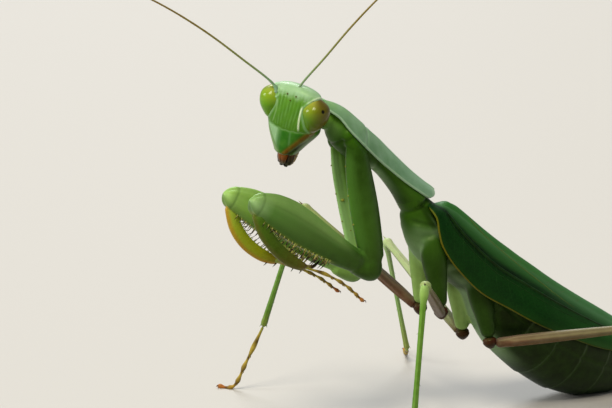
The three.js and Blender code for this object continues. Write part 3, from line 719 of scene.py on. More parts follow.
# Honey-coloured cuticle with a dark ring at each joint
footBrown = cuticle("footCuticle",
    along=[(0, "6a7a2a"), (0.1, "94802c"), (0.18, "4a3414"), (0.26, "a08a34"), (0.34, "8f7a2c"),
        (0.4, "3a220e"), (0.45, "a8903a"), (0.58, "4a2c10"), (0.63, "a8903a"), (0.75, "4a2a10"),
        (0.79, "a88634"), (0.88, "4a2410"), (0.92, "a8622e"), (1, "8a3a1c")],
    pale="b8a456", cloud=0.7, cloudShare=0.25, rough=0.45, pits=0.12)
# Hard glossy horn, brown at the root and nearly black at the point
clawHorn = cuticle("clawHorn",
    along=[(0, "8a5a24"), (0.5, "4a2810"), (1, "1c0e08")], pale="6a3c18", cloudShare=0.1,
    rough=0.25, coat=0.4, glow=0.05)


def makeFoot(name, node, line, slender):
    bm = newMesh()
    limb(bm, line=line, side=beads(slender), sides=16, steps=84, blunt=(0.03, 0.04))
    for joint in foot["joints"][1:5]:  # paired pads under each joint
        centre, ahead, across, dorsal = frameAt(line, joint - 0.02)
        for side in (left, right):
            root = centre + across * side * 0.1 * slender - dorsal * 0.12
            tip = root + ahead * 0.3 - dorsal * 0.16 + across * side * 0.12
            thorn(bm, root, tip, foot["pad"], sides=6, steps=5)
    for v in bm.verts:
        v.co.z = max(v.co.z, floorLevel)
    makePiece(bm, name, footBrown, "foot", node)
    bm = newMesh()
    centre, ahead, across, dorsal = frameAt(line, 0.97)
    for side in (left, right):
        tip = centre + ahead * 0.35 + across * side * 0.5 - dorsal * 0.1
        tip.z = max(tip.z, floorLevel + 0.05)
        root, bend = centre + across * side * 0.08, dorsal * 0.2 + across * side * 0.05
        thorn(bm, root, tip, foot["claw"], bend=bend, steps=9)
    makePiece(bm, name.replace("Tarsus", "Claws"), clawHorn, "foot")


# Forelegs: the hunting arms, folded in front of the head
foreLegs = dict(
    # the left arm's colours are darker than the right's: painted shade
    left=dict(
        shoulder=(-14, -2.2, 41.2), upperArm=(-12.7, -2.4, 33), foreArm=(-10.8, -2.05, 23.1),
        elbow=(-10.8, -2, 22.7), fold=(-12.6, -2.1, 23.3),
        shin=((-29.9, -3.6, 32.4), (-28.7, -3.6, 29.6), (-27.2, -3.6, 27.6), (-25.2, -3.55, 25.8),
            (-23.1, -3.5, 24.5), (-22.2, -3.45, 24.2)),
        foot=((-22.9, -4.5, 24.2), (-20.2, -4.7, 23.2), (-16.9, -4.6, 21.3), (-13.7, -4.3, 18.6)),
        coxaColours=[(0, "2a5008"), (0.16, "213f06"), (0.3, "254309"), (0.7, "345714"), (1, "2c4612")],
        coxaEdge="4c7a2c", paintedSheen="8aae60", tubercles=(),
        thighColours=[(0, "2c4710"), (0.25, "3a5a1e"), (0.55, "4a6a2c"), (0.84, "567f36"), (0.92, "84a868"),
            (1, "8cae72")],
        shinColours=[(0, "5f8430"), (0.12, "41600f"), (0.5, "3c5008"), (0.85, "4f4c10"), (1, "6a4a1c")],
        shinEdge="54481a",
    ),
    # the right arm's colours are lighter than the left's: painted light
    right=dict(
        shoulder=(-13.8, 2.2, 41), upperArm=(-11.5, 2.4, 32.2), foreArm=(-9.9, 2.05, 22.5),
        elbow=(-11.1, 2, 21.9), fold=(-12.7, 2.1, 22.6),
        shin=((-29.9, 3.6, 32.4), (-29, 3.6, 29.2), (-27.6, 3.6, 27.1), (-25.7, 3.55, 25.5),
            (-23.5, 3.5, 24.3), (-22.4, 3.45, 24)),
        foot=((-22.6, 4.5, 23.6), (-18.6, 4.7, 22.2), (-15.4, 4.6, 20.6), (-12.2, 4.3, 18.2)),
        coxaColours=[(0, "456c1c"), (0.4, "6c9a38"), (0.6, "90bc64"), (1, "98c464")],
        coxaEdge="8cb070", paintedSheen="8cb44c", tubercles=((-13.29, 1.75, 31.7), (-12.17, 1.7, 27.4)),
        thighColours=[(0, "3f5f12"), (0.3, "4f7a1e"), (0.7, "74a434"), (0.88, "8cb450"), (1, "93b866")],
        shinColours=[(0, "93ac3c"), (0.3, "94a020"), (0.7, "8c9010"), (0.9, "7a7014"), (1, "6a4420")],
        shinEdge="a8641c",
    ),
)
knees = dict(x=-30.9, y=3.6, z=33.8)
coxaShape = dict(
    up=(-1, 0, 0.3), side=sizes((0, 1), (0.3, 1.25), (0.7, 1.4), (1, 1.3)),
    top=sizes((0, 1.1), (0.25, 2), (0.55, 2.2), (0.85, 1.85), (1, 1.6)),
    under=sizes((0, 0.9), (0.25, 1.5), (0.55, 1.85), (0.85, 1.75), (1, 1.6)),
    # ridged along the front, hollowed beside the ridge
    relief=lambda t, c, s: 0.16 * hump(s, 1, 0.06) - 0.12 * hump(s, 0.72, 0.16) + 0.1 * hump(s, -0.9, 0.1),
    sides=40, steps=60, blunt=(0.06, 0.045), teeth=15, smallTooth=0.24, bigTooth=0.36,
)
trochanterShape = dict(
    side=sizes((0, 1), (0.35, 1.45), (1, 0.8)), top=sizes((0, 1.6), (0.35, 1.7), (0.7, 0.9), (1, 0.4)),
    under=sizes((0, 1.6), (0.35, 1.95), (0.7, 1.2), (1, 0.5)),
    up=(0, 0, 1), sides=32, steps=30, blunt=(0.35, 0.2),
)
femurShape = dict(
    side=sizes((0, 0.95), (0.35, 1.25), (0.75, 1.35), (0.93, 1.15), (1, 0.9)),
    top=sizes((0, 1.3), (0.25, 1.8), (0.62, 2.8), (0.8, 2.55), (0.92, 1.75), (1, 1)),
    under=sizes((0, 1.5), (0.3, 2.3), (0.6, 2.6), (0.9, 1.8), (1, 1.1)),
    sides=64, steps=110, blunt=(0.06, 0.07),
    # a keel along the top, a channel for the shin below, faint lobes at the knee
    relief=lambda t, c, s: (
        0.1 * hump(s, 1, 0.05) - 0.08 * hump(s, 0.82, 0.12) - 0.24 * hump(s, -1, 0.1) * ease(t, 0.22, 0.34)
        + 0.1 * hump(s, -0.82, 0.09) * ease(t, 0.22, 0.34) - 0.05 * hump(s, 0.3, 0.14) * ease(t, 0.15, 0.35)
        + 0.05 * hump(t, 0.96, 0.018) * (1 - abs(s)) - 0.05 * hump(t, 0.925, 0.01)),
    # rows of thorns: how many, first, last, sideways place, lean, length, thickness, and how long
    # every second one is beside the others
    thorns=dict(outer=(4, 0.3, 0.58, 0.75, 0.5, 1.4, 0.17, 1),
        inner=(22, 0.26, 0.88, -0.7, 0.4, 0.7, 0.1, 0.7),
        edge=(17, 0.28, 0.86, 0.8, 0.4, 0.55, 0.1, 0.8),
        middle=(3, 0.3, 0.42, 0.05, 0.35, 1.3, 0.15, 1)),
)
tibiaShape = dict(
    up=(-0.75, 0, -0.66), side=sizes((0, 0.75), (0.4, 0.82), (0.88, 0.6), (1, 0.35)),
    top=sizes((0, 0.8), (0.3, 0.98), (0.75, 0.98), (0.92, 0.7), (1, 0.45)),
    under=sizes((0, 0.78), (0.3, 0.78), (0.75, 0.74), (0.92, 0.55), (1, 0.4)), sides=40, steps=80,
    relief=lambda t, c, s: 0.08 * hump(s, 1, 0.08) - 0.1 * hump(s, -1, 0.2) + 0.08 * hump(s, -0.75, 0.12),
    thorns=dict(outer=(13, 0.2, 0.92, 0.45, 0.6, 0.55, 0.085, 0.8),
        inner=(15, 0.18, 0.94, -0.45, 0.55, 0.5, 0.08, 0.8)),
)


# Thorns stand in a row along the underside of a limb, leaning along it
def thornRow(bm, piece, row):
    count, first, last, inset, lean, length, radius, other = row
    under = piece.get("under", piece["top"])
    for n in range(count):
        t = mix(first, last, n / (count - 1))
        centre, ahead, across, dorsal = frameAt(piece["line"], t, piece.get("up", (0, 0, 1)))
        depth = under(t)
        grown = length * (other if n % 2 else 1)
        root = centre - dorsal * depth * 0.8 + across * inset
        tip = root - dorsal * (depth * 0.2 + grown) + ahead * lean * grown + across * inset * 0.25
        thorn(bm, root, tip, radius, bend=-ahead * 0.12 * grown)


# Hard glossy horn, green at the root and black at the point
thornHorn = cuticle("thornHorn",
    along=[(0, "7a9440"), (0.3, "8f8440"), (0.48, "3a1c0a"), (0.65, "120805"), (1, "050302")],
    pale="6a4a1c", cloudShare=0.08, rough=0.28, coat=0.3, glow=0.03)
# Blunt yellowish cuticle that shows pale against the leg
toothPale = cuticle("coxaTooth",
    along=[(0, "4f7a24"), (0.5, "8a9440"), (1, "7a5c14")], pale="7f9440", rough=0.35)
armSkin = dict(voxel=0.15, smoothing=2, elbowSmoothing=30, elbowReach=3.4, dome=0.36, footShare=0.72)
for name, node, side in bothSides:
    leg = foreLegs[node]
    knee = Vector((knees["x"], side * knees["y"], knees["z"]))
    elbow, fold = Vector(leg["elbow"]), Vector(leg["fold"])
    coxa = dict(**coxaShape, line=lineThrough(leg["shoulder"], leg["upperArm"], leg["foreArm"]))
    trochanter = dict(**trochanterShape, line=lineThrough(*[
        elbow + Vector(step) for step in ((1.5, 0, 0.3), (-0.8, 0, -0.1), (-3.9, 0, 0.2))]))
    femur = dict(**femurShape, line=lineThrough(fold, (-21, side * 2.85, mix(fold.z, knee.z, 0.465)), knee))
    # hip, second joint and thigh grown into one skin, then given their ridges
    joined = (coxa, trochanter, femur)
    bm = growSkin([{**piece, "relief": None} for piece in joined], armSkin["voxel"], armSkin["smoothing"],
        ("thigh", "alongThigh", "edge", "crease", "paintedSheen"))
    atElbow = [v for v in bm.verts if (v.co - elbow).length < armSkin["elbowReach"]]
    smooth(bm, atElbow, armSkin["elbowSmoothing"])
    bm.normal_update()
    placeOnArm = nearestPlace(joined)
    along, above, thigh, alongThigh, edge, crease, paintedSheen = notesOf(
        bm, "along", "above", "thigh", "alongThigh", "edge", "crease", "paintedSheen")
    for v in bm.verts:
        n, t, centre, ahead, across, dorsal = placeOnArm(v.co)
        piece, offset = joined[n], v.co - centre
        x, y = offset.dot(across), offset.dot(dorsal)
        x, y = x / piece["side"](t), y / (piece["top"](t) if y > 0 else piece.get("under", piece["top"])(t))
        c, s = x / max(hypot(x, y), 1e-6), y / max(hypot(x, y), 1e-6)
        if piece.get("relief"):
            v.co += v.normal * piece["relief"](t, c, s) * ease(t, 0, 0.08) * (1 - 0.7 * ease(t, 0.97, 1))
        v[above] = s * (1 if n == 2 else ease(abs(t - 0.5), 0.5, 0.3))
        v[along], v[alongThigh] = (t, 1, 1)[n], (0, 0, t)[n]
        v[thigh] = (0.5 * ease(t, 0.86, 1), 0.5, 0.5 + 0.5 * ease(t, 0, 0.14))[n]
        if n == 2:
            v[edge] = 0.8 * ease(-s, 0.72, 0.9) * ease(t, 0.2, 0.32) * fade(t, 0.93, 0.97)
            # painted highlight on the upper outer side of the thigh
            v[paintedSheen] = 0.6 * ease(s, -0.05, 0.7) * ease(t, 0.1, 0.3)
            v[crease] = clamp(0.35 * hump(t, 0.925, 0.008)
                + 0.22 * hump(s, 0.35, 0.06) * ease(t, 0.2, 0.35) * fade(t, 0.8, 0.9))
    tuckUnderShield(bm)
    # Satin green cuticle: a light ridge in front, an olive lower edge and a painted highlight on the thigh
    armGreen = cuticle("armCuticle" + name,
        along=leg["coxaColours"], second=("alongThigh", "thigh", leg["thighColours"]),
        bands=[(0.45, 1, 0.6, leg["coxaEdge"]), (-0.1, -0.9, 0.55, "213a0a")],
        marks=dict(paintedSheen=leg["paintedSheen"], edge="76842c", crease="2a4a10"),
        pale=leg["coxaEdge"], rough=0.4, cloud=1.6, cloudShare=0.2, coat=0.06)
    makePiece(bm, "armSkin" + name, armGreen, "foreleg",
        *[f"fore_{part}_{node}" for part in ("coxa", "trochanter", "femur")])
    bm = newMesh()
    # blunt teeth down the front ridge, every fourth one bigger
    for n in range(coxaShape["teeth"]):
        t = mix(0.16, 0.92, n / (coxaShape["teeth"] - 1))
        centre, ahead, across, dorsal = frameAt(coxa["line"], t, coxa["up"])
        turn = 0.12 * sin(5 * n)
        root = centre + dorsal * (coxa["top"](t) - 0.02) * cos(turn) + across * coxa["side"](t) * sin(turn)
        size = coxaShape["bigTooth" if n % 4 == 1 else "smallTooth"]
        thorn(bm, root - dorsal * 0.1, root + dorsal * size + ahead * 0.08, 0.6 * size, sides=7, steps=6)
    for spot in leg["tubercles"]:  # amber domes on the inner face
        sunk = Vector((0, 0.3 * side, 0))
        thorn(bm, Vector(spot) + sunk, Vector(spot) - sunk, armSkin["dome"], sides=12)
    makePiece(bm, "coxaTeeth" + name, toothPale, "foreleg")
    tibia = dict(**tibiaShape, line=lineThrough(*leg["shin"]))
    # Thin cuticle, green to yellow, with a browner ridge on its back
    shinGreen = cuticle("tibiaCuticle" + name,
        along=leg["shinColours"], bands=[(0.5, 1, 0.7, leg["shinEdge"])],
        pale=leg["shinColours"][0][1], rough=0.36, cloud=1.0, cloudShare=0.2)
    makeLimb("foreTibia" + name, shinGreen, "foreleg", f"fore_tibia_{node}", **tibia)
    bm = newMesh()
    for piece in (femur, tibia):
        for row in piece["thorns"].values():
            thornRow(bm, piece, row)
    for t in (0.86, 0.97):  # dark spurs on the outside of the shin's end
        centre, ahead, across, dorsal = frameAt(tibia["line"], t, tibia["up"])
        root = centre + dorsal * 0.5 * tibia["top"](t) + across * 0.3 * side
        thorn(bm, root, root + Vector((-0.75, 0.2 * side, -0.75)), 0.14)
    end = Vector(leg["shin"][-1])
    hook = [end + Vector(step)
        for step in ((-1, -side * 0.15, 0.1), (1, -side * 0.3, -0.2), (2.5, -side * 0.45, 0.6))]
    limb(bm, line=lineThrough(*hook), side=sizes((0, 0.4), (0.5, 0.28), (1, 0.06)), sides=14, steps=24)
    makePiece(bm, "foreThorns" + name, thornHorn, "foreleg")
    makeFoot("foreTarsus" + name, f"fore_tarsus_{node}", lineThrough(*leg["foot"]), armSkin["footShare"])
print("forelegs")

# Walking legs: slender, ridged along their length, with lobes at the knee
legLooks = dict(
    midLeft=dict(
        thigh=[(0, "2a120c"), (0.08, "3f241c"), (0.35, "5c5040"), (0.8, "6c6448"), (0.94, "7f9054"),
            (1, "94ac68")],
        shin=[(0, "8cab60"), (0.06, "86a852"), (0.14, "588226"), (0.85, "547c2a"), (1, "767c30")]),
    midRight=dict(
        thigh=[(0, "3a1810"), (0.12, "5a3428"), (0.48, "665648"), (0.7, "7c8a48"), (1, "8ca05c")],
        shin=[(0, "80985c"), (0.1, "5c8230"), (0.85, "4f7428"), (1, "6c742c")]),
    hindLeft=dict(
        thigh=[(0, "3a1a10"), (0.1, "5f4030"), (0.35, "5f4e3a"), (0.7, "665c42"), (1, "8a8a58")],
        shin=[(0, "8a9058"), (0.1, "6a8438"), (0.85, "66863a"), (1, "7a7030")]),
    hindRight=dict(
        thigh=[(0, "4a2a1a"), (0.1, "7a7c50"), (0.4, "94a474"), (0.9, "9cb07c"), (1, "a8bd84")],
        shin=[(0, "a8bc8c"), (0.1, "93ac74"), (0.6, "84a860"), (1, "8a9048")]),
)
# Dark brown cuticle with a faint gloss, like a knot in the leg
trochanterBrown = cuticle("trochanterCuticle",
    along=[(0, "343a18"), (0.25, "32140c"), (0.7, "220c08"), (1, "30120c")], pale="4f2418",
    rough=0.4, coat=0.08, glow=0.08)
for (pair, sideName), leg in walkingLegs.items():
    name = pair + sideName.title()
    root, hip, knee, ankle, toe = [Vector(leg[key]) for key in ("root", "hip", "knee", "ankle", "toe")]
    makeLimb(name + "Trochanter", trochanterBrown, "shank", f"{pair}_trochanter_{sideName}",
        line=lineThrough(hip.lerp(root, 0.1), hip, hip.lerp(root, -0.07)),
        side=sizes((0, 0.85), (0.4, 1.05), (1, 0.75)), blunt=(0.35, 0.6), sides=28, steps=24,
        relief=lambda t, c, s: -0.1 * hump(t, 0.35, 0.06))
    bm = newMesh()
    limb(bm, line=lineThrough(hip.lerp(knee, 0.03), hip.lerp(knee, 0.5), knee),
        side=sizes((0, 0.72), (0.3, 0.78), (0.85, 0.55), (0.95, 0.62), (1, 0.56)),
        # six ridges along it and two lobes at the knee
        relief=lambda t, c, s: (
            0.07 * cos(6 * atan2(s, c)) * ease(t, 0.05, 0.15) * fade(t, 0.88, 0.94)
            + 0.12 * hump(t, 0.965, 0.02) * abs(c)),
        sides=36, steps=70, blunt=(0.03, 0.03))
    thorn(bm, knee.lerp(hip, 0.02), knee + Vector((0, 0, 0.1)) + (knee - hip).normalized() * 0.7, 0.18)
    # Brown-tinged cuticle, dark on its underside and pale along the top
    thighBrown = cuticle(name + "ShankCuticle", along=legLooks[name]["thigh"], pale="8a7a5c",
        rough=0.42, cloud=1.2, cloudShare=0.25, bands=[(-0.3, -1, 0.5, "4a2208"), (0.3, 1, 0.2, "a8a488")])
    makePiece(bm, name + "Femur", thighBrown, "shank", f"{pair}_femur_{sideName}")
    line = lineThrough(knee, knee.lerp(ankle, 0.5), ankle)
    bm = newMesh()
    limb(bm, line=line,
        side=sizes((0, 0.55), (0.06, 0.6), (0.12, 0.42), (0.6, 0.36), (0.95, 0.44), (1, 0.38)),
        relief=lambda t, c, s: (
            0.035 * cos(6 * atan2(s, c)) * ease(t, 0.1, 0.2) + 0.05 * hump(t, 0.96, 0.02)),
        sides=30, steps=70, blunt=(0.03, 0.02))
    # spurs at the ankle and bristles down the shin: place, turn, root, reach, lean, thickness, faces
    spines = [(0.965, turn, 0.3, 0.62, 0.75, 0.1, 7) for turn in (0.6, 2.5, 4.2)]
    spines += [(0.22 + 0.08 * n, n * 2.4, 0.28, 0.55, 0.3, 0.05, 5) for n in range(9)]
    for t, turn, low, high, lean, radius, faces in spines:
        centre, ahead, across, dorsal = frameAt(line, t)
        away = across * cos(turn) + dorsal * sin(turn)
        tip = centre + away * high + ahead * lean
        thorn(bm, centre + away * low, tip, radius, sides=faces, steps=faces)
    # Fresh green cuticle, thin and even
    shinGreen = cuticle(name + "ShinCuticle", along=legLooks[name]["shin"], pale="86a85a", rough=0.4,
        cloud=0.9, cloudShare=0.25)
    makePiece(bm, name + "Tibia", shinGreen, "shin", f"{pair}_tibia_{sideName}")
    ball = ankle.lerp(toe, 0.66)
    ball.z = sole + 0.08
    instep = ankle.lerp(ball, 0.55)
    instep.z = mix(sole, ankle.z, 0.42)
    makeFoot(name + "Tarsus", f"{pair}_tarsus_{sideName}", lineThrough(ankle, instep, ball, toe), 1.0)
print("walking legs")

# The head, in its own frame: +x to the animal's right, +y out of its face, +z to its crown
headPlace = (Matrix.Translation((-22.2, 0, 44.7))
    @ Matrix.Rotation(radians(117), 4, "Z") @ Matrix.Rotation(radians(-10), 4, "X")
    @ Matrix.Rotation(radians(-15.5), 4, "Y"))
head = dict(
    line=lineThrough((0, -0.5, 3.5), (0, -0.2, 0), (0, 0.35, -3.2), (0, 0.9, -6.2)),
    up=(0, 1, 0),
    side=sizes((0, 3), (0.08, 3.4), (0.3, 3.5), (0.5, 3.45), (0.7, 2.8), (0.88, 1.85), (1, 1.2)),
    top=sizes((0, 1.2), (0.2, 1.6), (0.5, 1.75), (0.8, 1.5), (1, 1)),
    under=sizes((0, 1.6), (0.2, 2.3), (0.5, 4), (0.7, 4.6), (0.88, 3.5), (1, 2)),
    sides=160, steps=150, blunt=(0.1, 0.05), square=0.85,
)
eyeShape = dict(
    up=(0, 1, 0),
    side=sizes((0, 1.1), (0.25, 1.7), (0.5, 1.75), (0.8, 1.1), (1, 0.5)),
    top=sizes((0, 1.2), (0.25, 1.85), (0.55, 1.85), (0.8, 1.2), (1, 0.5)),
    sides=72, steps=64, blunt=(0.35, 0.15),
)


def eyeOf(side):
    return dict(**eyeShape,
        line=lineThrough((side * 3.1, -0.3, 2.6), (side * 3.35, -0.1, 0.3), (side * 2.8, 0.3, -2.2)))


sockets = {left: headPlace.inverted() @ Vector((-22.5, -1.1, 46.4)),
    right: headPlace.inverted() @ Vector((-24.1, 1, 46.9))}

# Glassy eye: a clear coat over fine facets, green below and olive-brown above, the pale yellow at the very
# top a painted highlight, one black spot
eyeLooks = {
    left: dict(spotShare=1.0, brownShare=0.85,
        along=[(0, "98943c"), (0.25, "7a8c1c"), (0.55, "4f7804"), (1, "446600")]),
    right: dict(spotShare=0.35, brownShare=0.05,
        along=[(0, "989c3c"), (0.25, "7c9a1e"), (0.55, "5c8e08"), (1, "527c08")]),
}


def eyeGlass(name, look):
    material, tree = newMaterial(name)
    place = addNode(tree, "TexCoord", give="Object")
    along, outer = [addNode(tree, "Attribute", give="Fac", attribute_name=note)
        for note in ("along", "outer")]
    tint = addNode(tree, "ValToRGB", {"Fac": along}, look["along"])
    brown = addNode(tree, "MapRange", {
        "Value": outer, "From Min": -0.1, "From Max": 1.1, "To Max": look["brownShare"]},
        interpolation_type="SMOOTHSTEP")
    away = addNode(tree, "VectorMath", {0: place, 1: look["spot"]}, give="Value", operation="DISTANCE")
    spot = addNode(tree, "MapRange", {
        "Value": away, "From Min": look["spotSize"] * 0.0006, "From Max": look["spotSize"] * 0.0012,
        "To Min": look["spotShare"], "To Max": 0.0}, interpolation_type="SMOOTHSTEP")
    for share, tone in ((brown, look["brown"]), (spot, look["black"])):
        tint = addNode(tree, "Mix", {0: share, 6: tint, 7: colour(tone)}, give=2, data_type="RGBA")
    facets = addNode(tree, "TexVoronoi", {"Vector": place, "Scale": 1000 / look["facet"]})
    glass = addNode(tree, "BsdfPrincipled", {
        "Base Color": tint, "Roughness": 0.35, "IOR": 1.45, "Specular IOR Level": 0.18,
        "Normal": addNode(tree, "Bump", {"Height": facets, "Strength": 0.12, "Distance": 0.00003}),
        "Specular Tint": colour("b4d26e"), "Coat Weight": 0.35, "Coat Roughness": 0.13,
        "Subsurface Weight": 0.08, "Subsurface Radius": (0.6, 1.0, 0.2), "Subsurface Scale": 0.0006})
    addNode(tree, "OutputMaterial", {"Surface": glass})
    return material


eyeSkinPoints = []
for name, node, side in bothSides:
    eye = eyeOf(side)
    bm = newMesh("outer")
    limb(bm, **eye)
    along, outer = notesOf(bm, "along", "outer")
    for v in bm.verts:
        v[outer] = side * (v.co - eye["line"](v[along])).normalized().x
        eyeSkinPoints.append(v.co.copy())
    # spot and facets in mm, the facets three times life size so that they show close up
    look = dict(**eyeLooks[side], brown="4f3a04", black="0a0604", spotSize=0.27, facet=0.09,
        spot=toFrame @ headPlace @ Vector((side * 4.77, 0.66, 1.52)))
    makePiece(bm, "eye" + name, eyeGlass("eyeGlass" + name, look), "eye", f"eye_{node}", local=headPlace)
eyeSkin = KDTree(len(eyeSkinPoints))
for n, place in enumerate(eyeSkinPoints):
    eyeSkin.insert(place, n)
eyeSkin.balance()
print("eyes")

# Distances from the middle of the head, in mm: the ridges and furrows of the forehead, the seam
# below it, and the line of the stripe that runs from each eye to the mouth
headMarks = dict(
    ridges=(0.24, 0.78, 1.3, 1.8), furrows=(0.0, 0.51, 1.04, 1.55), seam=2.3,
    stripeStart=3.16, stripeSlope=1.256, stripeScale=1.605,
)
bm = newMesh("pale", "groove", "stripe", "clypeus", "dark", "eyeRimHighlight")
limb(bm, **head)
faceOutward(bm)
pale, groove, stripe, clypeus, dark, eyeRimHighlightNote = notesOf(
    bm, "pale", "groove", "stripe", "clypeus", "dark", "eyeRimHighlight")
for v in bm.verts:
    x, y, z = v.co
    face = ease(v.normal.y, 0.1, 0.45)
    spread = mix(0.55, 1.0, ease(z, -6, 1.5))
    column = abs(x) / spread
    seamLine = z + headMarks["seam"] - 0.08 * abs(x)  # mm above the seam
    upright = ease(seamLine, 0.1, 0.5) * fade(z, 1.9, 2.5) * fade(column, 1.75, 2.1)
    waver = 0.65 + 0.35 * sin(2.1 * z + 4 * x)
    ridges = waver * sum(hump(column, place, 0.13) for place in headMarks["ridges"]) * face * upright
    furrow = waver * sum(hump(column, place, 0.11) for place in headMarks["furrows"]) * face * upright
    crown = ease(z + 0.14 * sin(5 * x) + 0.1 * sin(13 * x + 2), 1.75, 2.95)
    seamEdge = hump(seamLine + 0.04 * sin(6 * x), 0, 0.09) * face
    band = (z + headMarks["seam"] + headMarks["stripeSlope"] * (headMarks["stripeStart"] - abs(x))
        ) / headMarks["stripeScale"]  # mm above the stripe
    onBand = hump(band, 0, 0.29) * ease(-z, 1.7, 2.4) * ease(y, -1.2, -0.4) * fade(-z, 5.6, 6.1)
    onClypeus = face * ease(-seamLine, 0, 0.25) * ease(band, 0.25, 0.55)
    # pale streaks down the clypeus in shallow grooves: painted highlights
    streak = (0.6 * hump(abs(x), 0.95 - 0.04 * z, 0.14) + 0.3 * hump(x, 0.3, 0.12)) * onClypeus
    rightCheekHighlight = ease(x, 0, 0.5)  # painted highlight on the right cheek, in place of the stripe
    jawLine = hump(band, -0.48, 0.17) * ease(-z, 3, 3.9) * ease(y, -0.4, 0.9) * (1 - 0.8 * rightCheekHighlight)
    # painted shade on the cheek below the stripe
    shadeBelowStripe = ease(-band, 0.3, 0.5) * (1 - jawLine)
    # painted highlight along the raised inner margin of the left eye, faint on the right
    eyeRimHighlight = (hump(abs(x), 1.82 + 0.05 * (z - 0.2) ** 2, 0.085) * ease(z, -2.1, -1.4) * fade(z, 0.9, 1.6)
        * face * (1 if x < 0 else 0.12))
    fromEye = eyeSkin.find(v.co)[2]
    # a raised rim round each eye, with a painted highlight on it
    rim = hump(fromEye, 0.1, 0.13)
    socket = sum(hump((v.co - sockets[side]).length, 0.42, 0.12) for side in (left, right))
    cheek = hump(z, -3, 1.4) * ease(abs(v.normal.x), 0.2, 0.7) * ease(-v.normal.y, -0.1, 0.4)
    # painted highlight along the rim over the left eye
    browHighlight = hump(fromEye, 0.14, 0.06) * ease(z, 1.7, 2.2) * ease(-x, 1.6, 2.6)
    v.co += v.normal * (0.04 * ridges - 0.04 * furrow - 0.05 * seamEdge + 0.06 * onClypeus
        - 0.05 * streak + 0.4 * cheek + 0.08 * eyeRimHighlight + 0.12 * rim + 0.12 * socket + 0.08 * onBand
        - 0.08 * jawLine - 0.05 * hump(z + 0.1 * sin(7 * x), 2.2, 0.1) * face)
    # pale: the crown, ridges, sockets and seam, with painted highlights round the eyes, on the clypeus
    # streaks and on the right side of the face
    v[pale] = clamp(0.9 * crown + 0.4 * rim + 0.12 * ridges + 0.5 * socket + 0.22 * seamEdge + 0.25 * streak
        + 0.7 * onBand * rightCheekHighlight + 0.7 * onClypeus * ease(x, 0.2, 1.3))
    # groove: darker in the furrows, and painted shade below the stripe
    v[groove] = clamp(0.4 * furrow + 0.85 * shadeBelowStripe)
    v[stripe] = clamp(1.2 * onBand * (1 - 0.8 * rightCheekHighlight))
    v[clypeus] = clamp(onClypeus)
    v[eyeRimHighlightNote] = clamp(1.2 * eyeRimHighlight + 0.6 * browHighlight)
    v[dark] = clamp(1.5 * jawLine)
# Smooth cuticle with a faint gloss: bright face, pale crown, dark line at the jaw, painted highlights by
# the eyes and on the right cheek, painted shade below the stripe
headGreen = cuticle("headCuticle",
    along=[(0, "6f9a4a"), (0.2, "4f841c"), (0.5, "3f7010"), (0.75, "34600c"), (1, "345c12")],
    bands=[(-0.1, -0.8, 0.7, "1f3a08")],
    marks=dict(groove="244a08", clypeus="235f10", pale="98bc90", stripe="5f3a04", eyeRimHighlight="dfeec8",
        dark="140803"),
    pale="6a9a3a", cloud=1.1, cloudShare=0.2, rough=0.36, coat=0.06, pits=0.13)
makePiece(bm, "headSkin", headGreen, "head_cuticle", "head", local=headPlace)

# Three simple eyes in a triangle between the feelers: x, y, z, size
ocelli = ((0, 1.3, 1.75, 0.1), (-0.66, 1.02, 2.42, 0.15), (0.66, 1.02, 2.42, 0.15))
# Clear hard lens that looks like a drop of dark amber
amber = cuticle("ocellusGlass", along=[(0, "4a4410"), (0.3, "5f6420"), (1, "7a8a34")], pale="6a6a24",
    rough=0.15, coat=0.8, bump=0.05)
bm = newMesh()
for x, y, z, size in ocelli:
    limb(bm, line=lineThrough((x, y + 0.16, z), (x, y - 0.05, z), (x, y - 0.4, z)), up=(0, 0, 1),
        side=sizes((0, size), (1, size)), sides=20, steps=14, blunt=(0.6, 0.3))
makePiece(bm, "ocelli", amber, "head_cuticle", local=headPlace)

# Mouth: upper lip, two jaws and the jointed feelers beside them
# Moist-looking red-brown horn, black at its edge
lipBrown = cuticle("lipCuticle",
    along=[(0, "8a4606"), (0.4, "6a2e04"), (0.62, "2a1004"), (1, "050202")], pale="9a6c3c",
    cloud=0.5, cloudShare=0.2, rough=0.32, coat=0.3)
# Darker horn of the jaws, nearly black where they bite
jawBrown = cuticle("jawCuticle",
    along=[(0, "5a240a"), (0.3, "35120a"), (0.6, "120805"), (1, "080303")], pale="7a5c48",
    cloud=0.5, cloudShare=0.2, rough=0.32, coat=0.3)
